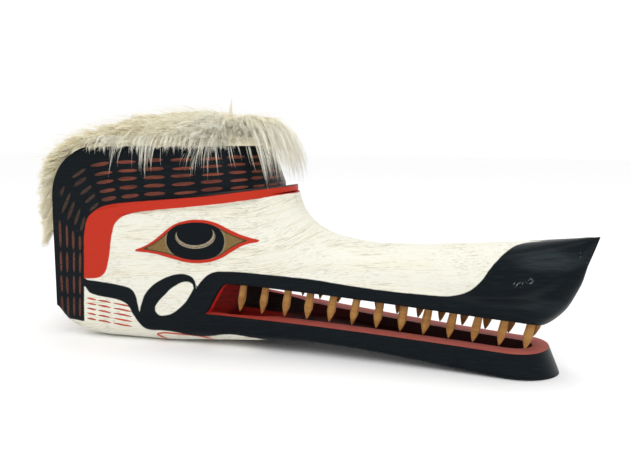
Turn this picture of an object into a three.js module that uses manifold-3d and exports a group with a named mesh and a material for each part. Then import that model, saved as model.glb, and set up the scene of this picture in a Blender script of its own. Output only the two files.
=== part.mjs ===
// A carved cedar wolf mask: one hollow carving with a crest, a brow, a long snout and
// a lower jaw, two rows of wooden peg teeth, and a fur hide on the crown.
// Millimetres. +X is the way the snout points, +Z is up, and the mask is the same on
// both sides of Y = 0. It stands on the keel of its head and on the front of its jaw.
import * as THREE from 'three';
import { mergeVertices } from 'three/addons/utils/BufferGeometryUtils.js';
import Module from 'manifold-3d';

const wasm = await Module();
wasm.setup();

// Driving dimensions of the carving
const REAR_X = -289;
const SNOUT_TIP_X = 300;
const CREST_HEIGHT = 223;
const WALL = 12;
const JAW_WALL = 20;
const MOUTH_CORNER_X = -100;
const MOUTH_OPEN_X = -76;
const HEAD_ROUNDING_X = -100;
const BROW_FRONT_X = -31;
const CREST_FOOT_Z = 180;
const CREST_FRONT_LOW_X = -47;
const CREST_FRONT_HIGH_X = -66;
const JAW_ROUNDING_X = 222;
const JAW_FRONT_RIM = 257;
const JAW_FRONT_FOOT = 268;
const JAW_TROUGH_END_X = 241;
const NOSE_ROUNDING_X = 215;
const PALATE_DEPTH = 16;
const PALATE_END_X = 237;
const HOLLOW_TOP_Z = 150;
const CREST_HOLLOW_FRONT_X = -86;
const CREST_ROOF = 18;
const HOLLOW_FRONT_X = -2;
const CREST_ROOT_Z = 125;
const EYE_REAR_X = -183;
const EYE_REAR_Z = 108;
const EYE_FRONT_X = -37;
const EYE_FRONT_Z = 124;
const EYE_HALF_HEIGHT = 25;
const EYE_STAND = 1.2;
const GAP = 0.3;

// Driving dimensions of the teeth and the fur
const TOOTH_COUNT = 13;
const TOOTH_FIRST_X = -67;
const TOOTH_LAST_X = 238;
const TOOTH_RADIUS = 4.4;
const TOOTH_SHOULDER = 5.2;
const TOOTH_SIDES = 8;
const TOOTH_SOCKET = 7;
const TOOTH_LEAN = 7;
const TOOTH_INSET = 12;
const TOOTH_CLEARANCE = 3;
const FUR_REAR_X = -318;
const FUR_FRONT_X = -22;
const FUR_RIDGE = 3;
const FUR_RIDGE_COUNT = 22;
const LOCK_SIDES = 6;
const LOCK_STEPS = 4;

// A smooth curve through a few [place, size] pairs, which never overshoots them
function profile(...pairs) {
  const slopes = pairs.slice(1).map(([place, size], i) => (size - pairs[i][1]) / (place - pairs[i][0]));
  const tangents = pairs.map((_, i) => {
    const before = slopes[Math.max(i - 1, 0)];
    const after = slopes[Math.min(i, slopes.length - 1)];
    return before * after > 0 ? (2 * before * after) / (before + after) : 0;
  });
  const last = pairs.length - 1;
  return (place) => {
    if (place <= pairs[0][0]) return pairs[0][1];
    if (place >= pairs[last][0]) return pairs[last][1];
    const i = slopes.findIndex((_, k) => place <= pairs[k + 1][0]);
    const span = pairs[i + 1][0] - pairs[i][0];
    const t = (place - pairs[i][0]) / span;
    const u = 1 - t;
    return (1 + 2 * t) * u * u * pairs[i][1] + t * u * u * span * tangents[i]
      + t * t * (3 - 2 * t) * pairs[i + 1][1] - t * t * u * span * tangents[i + 1];
  };
}

const mix = (a, b, t) => a + (b - a) * t;

function smoothstep(low, high, value) {
  const t = Math.min(Math.max((value - low) / (high - low), 0), 1);
  return t * t * (3 - 2 * t);
}

// Evenly spread places along a stretch
function places(from, to, count) {
  return Array.from({ length: count + 1 }, (_, i) => mix(from, to, i / count));
}

// Points round a quarter turn, from [1, 0] to [0, 1]. A power under 1 makes it boxier.
const quarter = (count, power) => places(0, Math.PI / 2, count).map((angle) => [
  Math.cos(angle) ** power, Math.sin(angle) ** power,
]);

// Half the width of the carving, seen from above
const sideWidth = profile(
  [REAR_X, 102], [-250, 96.5], [-190, 88], [-123, 78], [-78, 69], [-11, 58], [34, 51.8],
  [79, 46.8], [124, 42.7], [169, 39.7], [214, 37.9], [245, 37],
);

// Height of the lower lip's rim, of the upper lip's edge and of the underside
const rimHeight = profile([MOUTH_CORNER_X, 39.5], [28, 34.2], [148, 28.7], [235, 25]);
const lipHeight = profile([MOUTH_CORNER_X, 39.5], [MOUTH_OPEN_X, 73.5], [8, 69.5], [186, 58.7], [240, 56]);
const undersideHeight = profile(
  [REAR_X, 36], [-282, 19], [-268, 8], [-245, 1.5], [-225, 0], [-165, 0], [-110, 4],
  [-60, 9], [10, 15], [60, 13.5], [120, 9], [180, 3.5], [222, 0],
);

// The flat middle of the underside, how far the jaw flares out below its rim and the
// height of the trough's floor
const undersideFlat = profile(
  [REAR_X, 80], [-245, 66], [-165, 54], [-100, 48], [-20, 48], [60, 43], [220, 35],
);
const jawFlare = profile([-20, 0], [120, 2.5], [230, 4]);
const troughFloor = profile([-130, 10], [-60, 17], [10, 24], [24, 23.5], [JAW_ROUNDING_X, 10]);
const keelRounding = profile([REAR_X, 16], [-245, 24], [-165, 32], [-100, 27], [-20, 10], [60, 5]);

// The sweep of the forehead on the middle line, from under the brow to the bridge of the
// snout, read either as a height at each place or as a place at each height
const FOREHEAD = [[-25, 171], [-19, 156], [-10, 144], [5, 133], [34, 122.6]];
const crownHeight = profile(
  [REAR_X, 150], [-240, 150], [-205, 156], [-136, 160], [HEAD_ROUNDING_X, 166], [-60, 171],
  ...FOREHEAD, [69, 118.5], [107, 120], [161, 124], [212, 129],
);
const foreheadFront = profile(
  [70, 420], [100, 230], [112, 130], [118, 78],
  ...FOREHEAD.map(([x, z]) => [z, x]).reverse(),
);
const snoutBoxiness = profile([0, 2.2], [60, 2.8], [200, 3.4]);

// The bulging lip band of the upper jaw and the groove above it
const grooveHeight = profile([-100, 96], [8, 92], [90, 86], [156, 80], [226, 78]);
const lipBulge = profile([-70, 0], [0, 1], [150, 2], [215, 3]);
const grooveDepth = profile([60, 0], [156, 1.5], [226, 4]);
const nostrilHollow = profile([165, 0], [215, 3.5], [240, 5]);

// The crest: how far it stands in from the brow, how far it leans, and its top
const crestInset = profile([-245, 0.4], [-186, 3], [HEAD_ROUNDING_X, 7], [-60, 12]);
const CREST_LEAN = 4;
const CREST_CORNER = 52;
const crestTop = (x) => {
  const reach = Math.max(REAR_X + CREST_CORNER - x, 0) / CREST_CORNER;
  return CREST_HEIGHT - CREST_CORNER * 1.1 * (1 - Math.sqrt(Math.max(1 - reach * reach, 0)));
};

// The brow: the lower and upper edges of its ledge, and how far it stands out
const BROW_REAR_X = -205;
const browLow = profile(
  [BROW_REAR_X, 147], [-173, 151.6], [-136, 155.6], [-97, 159.7], [-55, 166], [BROW_FRONT_X, 173],
);
const browHigh = profile(
  [BROW_REAR_X, 158.5], [-186, 161.6], [-96, 170], [-55, 175.7], [BROW_FRONT_X, 180],
);
const browStand = profile([BROW_REAR_X, 0.6], [-160, 3]);

// How far the nose reaches forward at each height, and how blunt its prow is
const noseFront = profile(
  [48, 249], [56, 262], [70, 274.5], [90, 283.5], [104, 288], [117, 292.5], [130, 297],
  [139, SNOUT_TIP_X],
);
const NOSE_FRONT_LIP = 51;
const NOSE_FRONT_TOP = 140;
const NOSE_BLUNT = 0.16;

// A closed solid through a row of rings of points, with the given triangles as its ends
function loft(rings, ends) {
  const around = rings[0].length;
  const triangles = [...ends];
  for (let i = 0; i + 1 < rings.length; i += 1) {
    for (let j = 0; j < around; j += 1) {
      const [a, b] = [i * around + j, i * around + (j + 1) % around];
      triangles.push(a, b, b + around, a, b + around, a + around);
    }
  }
  const loose = new THREE.BufferGeometry();
  loose.setAttribute('position', new THREE.Float32BufferAttribute(rings.flat(2), 3));
  loose.setIndex(triangles);
  return toSolid(loose);
}

// A closed skin over a row of sections. Each section is the half outline from the
// middle of the underside round to the middle of the top, as [x, y, z] points with Y
// above zero, and is mirrored. The first and last sections are closed flat.
function skin(sections) {
  const rings = sections.map((half) => [
    ...half, ...half.slice(1, -1).reverse().map(([x, y, z]) => [x, -y, z]),
  ]);
  const around = rings[0].length;
  const mirrored = (j) => (around - j) % around;
  const ends = [[0, true], [rings.length - 1, false]].flatMap(([ring, flip]) => (
    sections[0].slice(1).flatMap((_, j) => {
      const corners = [j, j + 1, mirrored(j + 1), mirrored(j)].map((k) => ring * around + k);
      const [c0, c1, c2, c3] = flip ? corners.reverse() : corners;
      return [c0, c1, c2, c0, c2, c3];
    })
  ));
  return loft(rings, ends);
}

// A manifold solid from a geometry: equal points are joined, empty triangles dropped, and
// the faces turned outwards
function toSolid(geometry) {
  const bare = geometry.clone();
  for (const name of Object.keys(bare.attributes)) {
    if (name !== 'position') bare.deleteAttribute(name);
  }
  const joined = mergeVertices(bare, 1e-4);
  const position = joined.attributes.position;
  const corner = (k) => new THREE.Vector3().fromBufferAttribute(position, k);
  const kept = [];
  let volume = 0;
  for (let i = 0; i < joined.index.count; i += 3) {
    const [a, b, c] = [0, 1, 2].map((k) => joined.index.getX(i + k));
    if (a === b || b === c || c === a) continue;
    kept.push(a, b, c);
    volume += corner(a).dot(corner(b).cross(corner(c)));
  }
  if (volume < 0) kept.reverse();
  return new wasm.Manifold(new wasm.Mesh({
    numProp: 3,
    vertProperties: new Float32Array(position.array),
    triVerts: new Uint32Array(kept),
  }));
}

function toGeometry(solid) {
  const mesh = solid.getMesh();
  const geometry = new THREE.BufferGeometry();
  geometry.setAttribute('position', new THREE.BufferAttribute(new Float32Array(mesh.vertProperties), 3));
  geometry.setIndex(new THREE.BufferAttribute(new Uint32Array(mesh.triVerts), 1));
  geometry.computeVertexNormals();
  return geometry;
}

const unite = (solids) => solids.reduce((whole, solid) => whole.add(solid));

// Half width of the cheek's wall at one place and height, where it turns in to the forehead
function wallWidth(x, z) {
  const reach = Math.max((x - HEAD_ROUNDING_X) / (foreheadFront(z) - HEAD_ROUNDING_X), 0);
  return sideWidth(x) * Math.sqrt(Math.max(1 - reach * reach, 0.002));
}

// Half outline of the cheeks, forehead and snout at one place
function upperSection(x) {
  const base = lipHeight(x);
  const width = sideWidth(x);
  const corner = x > MOUTH_CORNER_X ? 3 : 0;
  const groove = grooveHeight(x);
  const top = crownHeight(x);
  const low = [
    [0, base], [width - corner, base], [width, base + corner],
    [width + lipBulge(x), mix(base, groove, 0.5)],
  ];
  const boxy = snoutBoxiness(x);
  const blend = smoothstep(-10, 60, x);
  const high = quarter(9, 0.7).map(([, rise]) => {
    const z = mix(groove, top, rise);
    const arch = width * Math.max(1 - rise ** boxy, 0) ** (1 / boxy);
    const hollow = nostrilHollow(x) * Math.sin(Math.PI * Math.min(rise / 0.85, 1));
    const sink = grooveDepth(x) * (1 - smoothstep(0, 0.35, rise));
    return [mix(wallWidth(x, z), arch, blend) - hollow - sink, z];
  });
  return [...low, ...high, [0, top]];
}

const upperStations = [
  ...places(REAR_X, -130, 6), -115, MOUTH_CORNER_X, -94, -88, -82, MOUTH_OPEN_X, -66, -54,
  -44, -36, -30, -25, -22, -19, -15, -10, -4, 4, 13, 24, 38, 58, ...places(80, NOSE_ROUNDING_X, 6),
];

// The nose narrows to a prow at the top and to a rounded lip at the bottom
function noseSection(progress) {
  const start = upperSection(NOSE_ROUNDING_X);
  const base = lipHeight(NOSE_ROUNDING_X);
  const top = crownHeight(NOSE_ROUNDING_X);
  return start.map(([y, z]) => {
    const rise = (z - base) / (top - base);
    const lowest = mix(base, NOSE_FRONT_LIP, progress ** 2);
    const highest = mix(top, NOSE_FRONT_TOP, progress);
    const height = mix(lowest, highest, rise);
    const x = mix(NOSE_ROUNDING_X, noseFront(height), progress);
    const prow = mix(1 - progress ** 1.25, Math.sqrt(1 - progress ** 12), NOSE_BLUNT);
    const lip = Math.sqrt(1 - progress ** 2.8);
    return [x, y * mix(lip, prow, smoothstep(0.05, 0.75, rise)), height];
  });
}

function upperSolid() {
  const straight = upperStations.map((x) => upperSection(x).map(([y, z]) => [x, y, z]));
  const rounded = [0.18, 0.36, 0.54, 0.7, 0.83, 0.92, 0.975, 1].map(noseSection);
  return skin([...straight, ...rounded]);
}

// Half outline of the keel and the lower jaw at one place
function lowerSection(x) {
  const foot = undersideHeight(x);
  const width = sideWidth(x);
  const flared = width + jawFlare(x);
  const flat = Math.min(undersideFlat(x), flared - 4);
  const rim = rimHeight(x);
  const rounding = Math.min(keelRounding(x), rim - foot - 2);
  const bilge = quarter(4, 0.9).map(([down, out]) => [
    mix(flat, flared, out), mix(foot + rounding, foot, down),
  ]);
  return [[0, foot], ...bilge, [width, rim], [0, rim]];
}

const lowerStations = [
  ...places(REAR_X, -265, 4), -255, -240, ...places(-220, -130, 3), -115, MOUTH_CORNER_X,
  ...places(-80, JAW_ROUNDING_X, 9),
];

function jawFrontSection(progress) {
  const rim = rimHeight(JAW_ROUNDING_X);
  return lowerSection(JAW_ROUNDING_X).map(([y, z]) => {
    const front = mix(JAW_FRONT_FOOT, JAW_FRONT_RIM, Math.max(z, 0) / rim);
    return [mix(JAW_ROUNDING_X, front, progress), y * Math.sqrt(1 - progress ** 2.4), z];
  });
}

function lowerSolid() {
  const straight = lowerStations.map((x) => lowerSection(x).map(([y, z]) => [x, y, z]));
  const rounded = [0.3, 0.55, 0.75, 0.88, 0.96, 1].map(jawFrontSection);
  return skin([...straight, ...rounded]);
}

// A block with a straight rear and a round front, as the brow and the crest have. Its
// half outline takes its widths at x and its heights at reach, which runs on round the
// front, and front(z) is where it ends at each height.
function roundFront({ stations, outline, front, turns }) {
  const roundX = stations[stations.length - 1];
  const straight = stations.map((x) => outline(x, x).map(([y, z]) => [x, y, z]));
  const rounded = places(0, 1, turns).slice(1).map((turn) => {
    const progress = Math.sin(turn * Math.PI / 2);
    const narrowing = Math.cos(turn * Math.PI / 2);
    const middle = outline(roundX, mix(roundX, front(CREST_FOOT_Z), progress));
    return middle.map(([y, z]) => [mix(roundX, front(z), progress), y * narrowing, z]);
  });
  rounded[turns - 1] = rounded[turns - 1].map(([x, , z]) => [x, 0, z]);
  return skin([...straight, ...rounded]);
}

const block = (low, high) => [[0, low[1]], low, high, [0, high[1]]];

const browSolid = () => roundFront({
  stations: [BROW_REAR_X, -186, -160, -130, HEAD_ROUNDING_X],
  outline: (x, reach) => block(
    [sideWidth(x) + browStand(x), browLow(reach)],
    [sideWidth(x) + browStand(x) - 1.5, browHigh(reach)],
  ),
  front: () => BROW_FRONT_X,
  turns: 10,
});

// The crest, or the crest grown by a margin that keeps the hide clear of it
const crestFront = (z) => mix(
  CREST_FRONT_LOW_X, CREST_FRONT_HIGH_X, (z - CREST_FOOT_Z) / (CREST_HEIGHT - CREST_FOOT_Z),
);
const crestSolid = (foot, margin) => roundFront({
  stations: [REAR_X - margin, -287, -281, -272, -260, -245, -215, -186, -140, HEAD_ROUNDING_X],
  outline: (x, reach) => {
    const width = sideWidth(x) - crestInset(x) + margin;
    const top = crestTop(reach) + margin;
    const lean = CREST_LEAN * smoothstep(REAR_X, -240, x);
    const knee = Math.min(CREST_FOOT_Z, top - 4);
    return [[0, foot], [width, foot], [width, knee], [width - lean, top], [0, top]];
  },
  front: (z) => crestFront(Math.max(z, CREST_FOOT_Z)) + margin,
  turns: 10,
});

// A low almond that stands a little proud of both cheeks and carries the eyes
function eyeSolid() {
  return skin(places(0, 1, 12).map((along) => {
    const x = mix(EYE_REAR_X, EYE_FRONT_X, along);
    const middle = mix(EYE_REAR_Z, EYE_FRONT_Z, along);
    const opening = EYE_HALF_HEIGHT * Math.sin(Math.PI * along) ** 1.35;
    const stand = EYE_STAND * Math.min(opening / 6, 1);
    const lids = [middle - opening, middle, middle + opening];
    const rims = lids.map((z) => [x, wallWidth(x, z) + stand, z]);
    return [[x, 0, lids[0]], ...rims, [x, 0, lids[2]]];
  }));
}

// The hollow of the head, open at the back and running into the mouth
function headHollow() {
  const innerWidth = (x) => sideWidth(x) - WALL;
  return roundFront({
    stations: [REAR_X - 10, REAR_X, -280, -265, -245, -225, -165, HEAD_ROUNDING_X],
    outline: (x, reach) => {
      const floor = undersideHeight(reach) + WALL;
      return [
        [0, floor], [undersideFlat(x) - 8, floor], [innerWidth(x), floor + keelRounding(x)],
        [innerWidth(x), HOLLOW_TOP_Z], [0, HOLLOW_TOP_Z],
      ];
    },
    front: (z) => Math.min(foreheadFront(z) - 2 * WALL, HOLLOW_FRONT_X),
    turns: 8,
  });
}

// The hollow of the crest, with straight walls and a square front
const crestHollow = () => skin(
  [REAR_X - 10, REAR_X, -281, -272, -260, -245, CREST_HOLLOW_FRONT_X].map((x) => {
    const width = sideWidth(x) - crestInset(x) - CREST_LEAN - WALL;
    const half = block([width, HOLLOW_TOP_Z - 10], [width, crestTop(x) - CREST_ROOF]);
    return half.map(([y, z]) => [x, y, z]);
  }),
);

// The trough in the lower jaw, with a straight floor and a square front, and the hollow
// in the roof of the mouth
const jawHollow = () => skin(
  [-130, -90, -60, -20, 30, 80, 150, JAW_ROUNDING_X, JAW_TROUGH_END_X].map((x) => {
    const width = sideWidth(x) - JAW_WALL;
    return block([width - 2, troughFloor(x)], [width, rimHeight(x) + 3]).map(([y, z]) => [x, y, z]);
  }),
);

const palateHollow = () => roundFront({
  stations: [-92, MOUTH_OPEN_X, -20, 30, 80, 150, NOSE_ROUNDING_X],
  outline: (x) => block(
    [sideWidth(x) - JAW_WALL, lipHeight(x) - 3],
    [(sideWidth(x) - JAW_WALL) * 0.8, lipHeight(x) + PALATE_DEPTH],
  ),
  front: () => PALATE_END_X,
  turns: 5,
});

// A peg tooth: an eight-sided stick with a swelling shoulder and a pencil point, seated
// in the upper lip. Margin grows it for the socket that it stands in.
function toothGeometry(index, side, margin) {
  const x = mix(TOOTH_FIRST_X, TOOTH_LAST_X, index / (TOOTH_COUNT - 1));
  const tip = [x, side * (sideWidth(x) - TOOTH_INSET), rimHeight(x) + TOOTH_CLEARANCE];
  const height = lipHeight(x + TOOTH_LEAN) + TOOTH_SOCKET + margin - tip[2];
  const stick = TOOTH_RADIUS + margin;
  const outline = [
    [0, 0], [0.45 * TOOTH_RADIUS + margin, 0.14], [TOOTH_SHOULDER + margin, 0.4], [stick, 0.72],
    [stick, 1], [0, 1],
  ].map(([across, up]) => new THREE.Vector2(across, up * height));
  const peg = new THREE.LatheGeometry(outline, TOOTH_SIDES);
  peg.rotateX(Math.PI / 2);
  peg.rotateY(Math.atan2(TOOTH_LEAN, height));
  peg.translate(...tip);
  return peg;
}

// Height of the hide's crown along the middle, of the hem that hangs behind and in
// front, and half the hide's width
const furTop = profile(
  [FUR_REAR_X, 196], [-312, 212], [-297, 226], [-271, 237], [-230, 247], [-190, 257],
  [-150, 263], [-110, 261], [-80, 256], [-56, 250], [-40, 238], [-30, 222], [FUR_FRONT_X, 200],
);
const furHem = profile(
  [FUR_REAR_X, 118], [-290, 104], [-286, 190], [-250, CREST_HEIGHT - 8],
  [-90, CREST_HEIGHT - 8], [-72, 206], [-55, 192], [FUR_FRONT_X, 187],
);
const furWidth = profile(
  [FUR_REAR_X, 84], [-306, 93], [-285, 98], [-190, 88], [-120, 76], [-98, 69], [-75, 56],
  [-56, 42], [-39, 28], [FUR_FRONT_X, 12],
);

// The body of the fur, ridged across like locks that part along the middle
function furBody() {
  const stations = places(FUR_REAR_X, FUR_FRONT_X, FUR_RIDGE_COUNT);
  return skin(stations.map((x, i) => {
    const ridge = i % 2 === 0 ? 0 : FUR_RIDGE;
    const hem = furHem(x) + ridge;
    const crown = furTop(x) - ridge;
    const width = furWidth(x) - ridge;
    const dome = quarter(5, 0.75).map(([across, up]) => [width * across, mix(hem + 6, crown, up)]);
    return [[0, hem], [width - 6, hem], ...dome.slice(0, -1), [0, crown]].map(([y, z]) => [x, y, z]);
  }));
}

// A tapering lock of hair, round in section, along a bend from its root to its tip
function lock(root, bend, tip, radius) {
  const path = new THREE.QuadraticBezierCurve3(
    new THREE.Vector3(...root), new THREE.Vector3(...bend), new THREE.Vector3(...tip),
  );
  const frames = path.computeFrenetFrames(LOCK_STEPS, false);
  const rings = places(0, 1, LOCK_STEPS).map((along, i) => {
    const size = radius * Math.sqrt(1 - along ** 1.6);
    return places(0, 2 * Math.PI, LOCK_SIDES).slice(1).map((angle) => path.getPointAt(along)
      .addScaledVector(frames.normals[i], size * Math.cos(angle))
      .addScaledVector(frames.binormals[i], size * Math.sin(angle))
      .toArray());
  });
  const rootFan = places(1, LOCK_SIDES - 2, LOCK_SIDES - 3).flatMap((j) => [0, j + 1, j]);
  return loft(rings, rootFan);
}

// The locks that fan out over the crest's round front
function frontLocks(side) {
  const angles = places(0.12, 1.25, 4);
  return angles.map((angle, i) => {
    const reach = (size, z) => [
      HEAD_ROUNDING_X + size * Math.cos(angle), side * size * 0.95 * Math.sin(angle), z,
    ];
    const tipZ = 190 + 12 * (i / 4) + 7 * (i % 2);
    return lock(reach(32, 236), reach(68, 246), reach(67, tipZ), 9);
  });
}

// The short locks that hang over the crest's sides
function sideLocks(side) {
  return [-205, -186, -168].map((x, i) => {
    const width = furWidth(x);
    const tipZ = 192 - 5 * (i % 2);
    return lock(
      [x, side * (width - 22), 226], [x - 2, side * (width + 4), 236],
      [x - 6, side * (width + 3), tipZ], 6,
    );
  });
}

// The long locks that hang behind the head, beside its open back
function rearLocks(side) {
  return [0, 9, 18].map((inset) => {
    const out = (size) => side * (size - inset);
    return lock([-300, out(86), 190], [-318, out(92), 150], [-308, out(90), 92 + inset], 9);
  });
}

// The doorway left in the fur behind the head's open back
const furDoorway = () => roundFront({
  stations: [FUR_REAR_X - 12, REAR_X + 2],
  outline: () => [[0, 60], [66, 60], [66, 112], [56, 136], [38, 149], [0, 153]],
  front: () => REAR_X + 4,
  turns: 1,
});

const paintedCedar = new THREE.MeshStandardMaterial({ color: '#efede2', roughness: 0.6, metalness: 0 });
const toothWood = new THREE.MeshStandardMaterial({ color: '#bd8c4c', roughness: 0.65, metalness: 0 });
const hide = new THREE.MeshStandardMaterial({ color: '#e0dbc8', roughness: 0.95, metalness: 0 });

const mask = new THREE.Group();
mask.position.x = -(FUR_REAR_X + SNOUT_TIP_X) / 2;

function place(name, geometry, material) {
  const mesh = new THREE.Mesh(geometry, material);
  mesh.name = name;
  mask.add(mesh);
}

const sockets = [];
for (const [label, side] of [['right', -1], ['left', 1]]) {
  for (let i = 0; i < TOOTH_COUNT; i += 1) {
    const number = String(i + 1).padStart(2, '0');
    place(`tooth_${label}_${number}`, toGeometry(toSolid(toothGeometry(i, side, 0))), toothWood);
    sockets.push(toSolid(toothGeometry(i, side, GAP)));
  }
}

const carving = unite([upperSolid(), lowerSolid(), browSolid(), crestSolid(CREST_ROOT_Z, 0), eyeSolid()]);
const hollows = unite([headHollow(), crestHollow(), jawHollow(), palateHollow(), ...sockets]);
place('carved_head', toGeometry(carving.subtract(hollows)), paintedCedar);

const locks = [-1, 1].flatMap((side) => [...frontLocks(side), ...sideLocks(side), ...rearLocks(side)]);
const fur = unite([furBody(), ...locks]);
place('fur_hide', toGeometry(fur.subtract(unite([crestSolid(60, GAP), furDoorway()]))), hide);

const group = new THREE.Group();
group.add(mask);

export default group;
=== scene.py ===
"""The finished look of a carved cedar wolf mask: the painted carving, its wooden peg
teeth and the fur hide on its crown. Lengths are in millimetres until a mesh is made."""

import math

import bpy
import numpy as np
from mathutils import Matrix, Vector


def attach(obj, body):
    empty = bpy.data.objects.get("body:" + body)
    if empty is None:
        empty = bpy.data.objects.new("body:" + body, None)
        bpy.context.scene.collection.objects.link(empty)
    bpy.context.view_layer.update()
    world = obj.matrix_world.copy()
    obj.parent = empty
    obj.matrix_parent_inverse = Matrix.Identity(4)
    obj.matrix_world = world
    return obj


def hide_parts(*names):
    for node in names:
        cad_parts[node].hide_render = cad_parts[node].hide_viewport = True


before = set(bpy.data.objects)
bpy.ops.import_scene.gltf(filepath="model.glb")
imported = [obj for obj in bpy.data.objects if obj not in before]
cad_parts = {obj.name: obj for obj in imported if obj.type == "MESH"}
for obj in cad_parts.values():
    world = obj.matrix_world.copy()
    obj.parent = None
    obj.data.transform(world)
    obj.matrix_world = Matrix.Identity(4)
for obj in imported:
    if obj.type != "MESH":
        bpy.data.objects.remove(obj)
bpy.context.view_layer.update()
rng = np.random.default_rng(20)

# The carving's driving sizes, the same as those of its solids
FRAME_SHIFT_X = 9
REAR_X = -289
SNOUT_TIP_X = 300
CREST_HEIGHT = 223
WALL = 12
JAW_WALL = 20
MOUTH_CORNER_X = -100
MOUTH_OPEN_X = -76
HEAD_ROUNDING_X = -100
BROW_REAR_X = -205
BROW_FRONT_X = -31
CREST_ROOT_Z = 125
CREST_FOOT_Z = 180
CREST_FRONT_LOW_X = -47
CREST_FRONT_HIGH_X = -66
CREST_LEAN = 4
CREST_CORNER = 52
JAW_ROUNDING_X = 222
JAW_FRONT_RIM = 257
JAW_FRONT_FOOT = 268
JAW_TROUGH_END_X = 241
NOSE_ROUNDING_X = 215
NOSE_FRONT_LIP = 51
NOSE_FRONT_TOP = 140
NOSE_BLUNT = 0.16
PALATE_DEPTH = 16
PALATE_END_X = 237
HOLLOW_TOP_Z = 150
CREST_HOLLOW_FRONT_X = -86
CREST_ROOF = 18
HOLLOW_FRONT_X = -2
TOOTH_COUNT = 13
TOOTH_FIRST_X = -67
TOOTH_LAST_X = 238
TOOTH_RADIUS = 4.4
TOOTH_SHOULDER = 5.2
TOOTH_SOCKET = 7
TOOTH_LEAN = 7
TOOTH_INSET = 12
TOOTH_CLEARANCE = 3
GAP = 0.3

# Material slots of the carving
PAINT, MOUTH, RIM, BARE = range(4)


def profile(*pairs):
    """A smooth curve through a few (place, size) pairs, which never overshoots them."""
    place, size = np.array(pairs, float).T
    slopes = np.diff(size) / np.diff(place)
    before = np.concatenate([slopes[:1], slopes])
    after = np.concatenate([slopes, slopes[-1:]])
    turning = before * after > 0
    total = np.where(turning, before + after, 1)
    tangents = np.where(turning, 2 * before * after / total, 0)

    def at(where):
        where = np.clip(where, place[0], place[-1])
        i = np.clip(np.searchsorted(place, where) - 1, 0, len(slopes) - 1)
        span = place[i + 1] - place[i]
        t = (where - place[i]) / span
        u = 1 - t
        return ((1 + 2 * t) * u * u * size[i] + t * u * u * span * tangents[i]
                + t * t * (3 - 2 * t) * size[i + 1] - t * t * u * span * tangents[i + 1])
    return at


def mix(a, b, t):
    return a + (b - a) * t


def smoothstep(low, high, value):
    t = np.clip((value - low) / (high - low), 0, 1)
    return t * t * (3 - 2 * t)


def steps(start, *runs):
    """Places from a start through runs that each have an end and a step size."""
    places = [start]
    for end, size in runs:
        count = max(int(round(abs(end - places[-1]) / size)), 1)
        places.extend(np.linspace(places[-1], end, count + 1)[1:])
    return np.array(places, float)


def quarter(count):
    """Angles of a quarter turn, with both of its ends."""
    return np.linspace(0, math.pi / 2, count)


def eased(count):
    """Numbers above 0 and up to 1 that lie closer together towards 1."""
    return np.sin(quarter(count))[1:]


def joined(x, y, z):
    """Points from their coordinates, of which some may be one number for all."""
    return np.stack(np.broadcast_arrays(x, y, z), axis=-1)


def unit(vectors, least=1e-6):
    """The directions of vectors, as vectors of length one."""
    return vectors / np.maximum(np.linalg.norm(vectors, axis=-1, keepdims=True), least)


side_width = profile(
    (REAR_X, 102), (-250, 96.5), (-190, 88), (-123, 78), (-78, 69), (-11, 58), (34, 51.8),
    (79, 46.8), (124, 42.7), (169, 39.7), (214, 37.9), (245, 37))
rim_height = profile((MOUTH_CORNER_X, 39.5), (28, 34.2), (148, 28.7), (235, 25))
lip_height = profile(
    (MOUTH_CORNER_X, 39.5), (MOUTH_OPEN_X, 73.5), (8, 69.5), (186, 58.7), (240, 56))
underside_height = profile(
    (REAR_X, 36), (-282, 19), (-268, 8), (-245, 1.5), (-225, 0), (-165, 0), (-110, 4),
    (-60, 9), (10, 15), (60, 13.5), (120, 9), (180, 3.5), (222, 0))
underside_flat = profile(
    (REAR_X, 80), (-245, 66), (-165, 54), (-100, 48), (-20, 48), (60, 43), (220, 35))
jaw_flare = profile((-20, 0), (120, 2.5), (230, 4))
trough_floor = profile((-130, 10), (-60, 17), (10, 24), (24, 23.5), (JAW_ROUNDING_X, 10))
keel_rounding = profile((REAR_X, 16), (-245, 24), (-165, 32), (-100, 27), (-20, 10), (60, 5))
FOREHEAD = ((-25, 171), (-19, 156), (-10, 144), (5, 133), (34, 122.6))
crown_height = profile(
    (REAR_X, 150), (-240, 150), (-205, 156), (-136, 160), (HEAD_ROUNDING_X, 166), (-60, 171),
    *FOREHEAD, (69, 118.5), (107, 120), (161, 124), (212, 129))
forehead_front = profile(
    (70, 420), (100, 230), (112, 130), (118, 78), *((z, x) for x, z in FOREHEAD[::-1]))
snout_boxiness = profile((0, 2.2), (60, 2.8), (200, 3.4))
groove_height = profile((-100, 96), (8, 92), (90, 86), (156, 80), (226, 78))
lip_bulge = profile((-70, 0), (0, 1), (150, 2), (215, 3))
groove_depth = profile((60, 0), (156, 1.5), (226, 4))
nostril_hollow = profile((165, 0), (215, 3.5), (240, 5))
crest_inset = profile((-245, 0.4), (-186, 3), (HEAD_ROUNDING_X, 7), (-60, 12))
brow_low = profile(
    (BROW_REAR_X, 147), (-173, 151.6), (-136, 155.6), (-97, 159.7), (-55, 166),
    (BROW_FRONT_X, 173))
brow_high = profile(
    (BROW_REAR_X, 158.5), (-186, 161.6), (-96, 170), (-55, 175.7), (BROW_FRONT_X, 180))
brow_stand = profile((BROW_REAR_X, 0.6), (-160, 3))
nose_front = profile(
    (48, 249), (56, 262), (70, 274.5), (90, 283.5), (104, 288), (117, 292.5), (130, 297),
    (139, SNOUT_TIP_X))


def crest_top(x):
    reach = np.maximum(REAR_X + CREST_CORNER - x, 0) / CREST_CORNER
    return CREST_HEIGHT - CREST_CORNER * 1.1 * (1 - np.sqrt(np.maximum(1 - reach**2, 0)))


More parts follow.
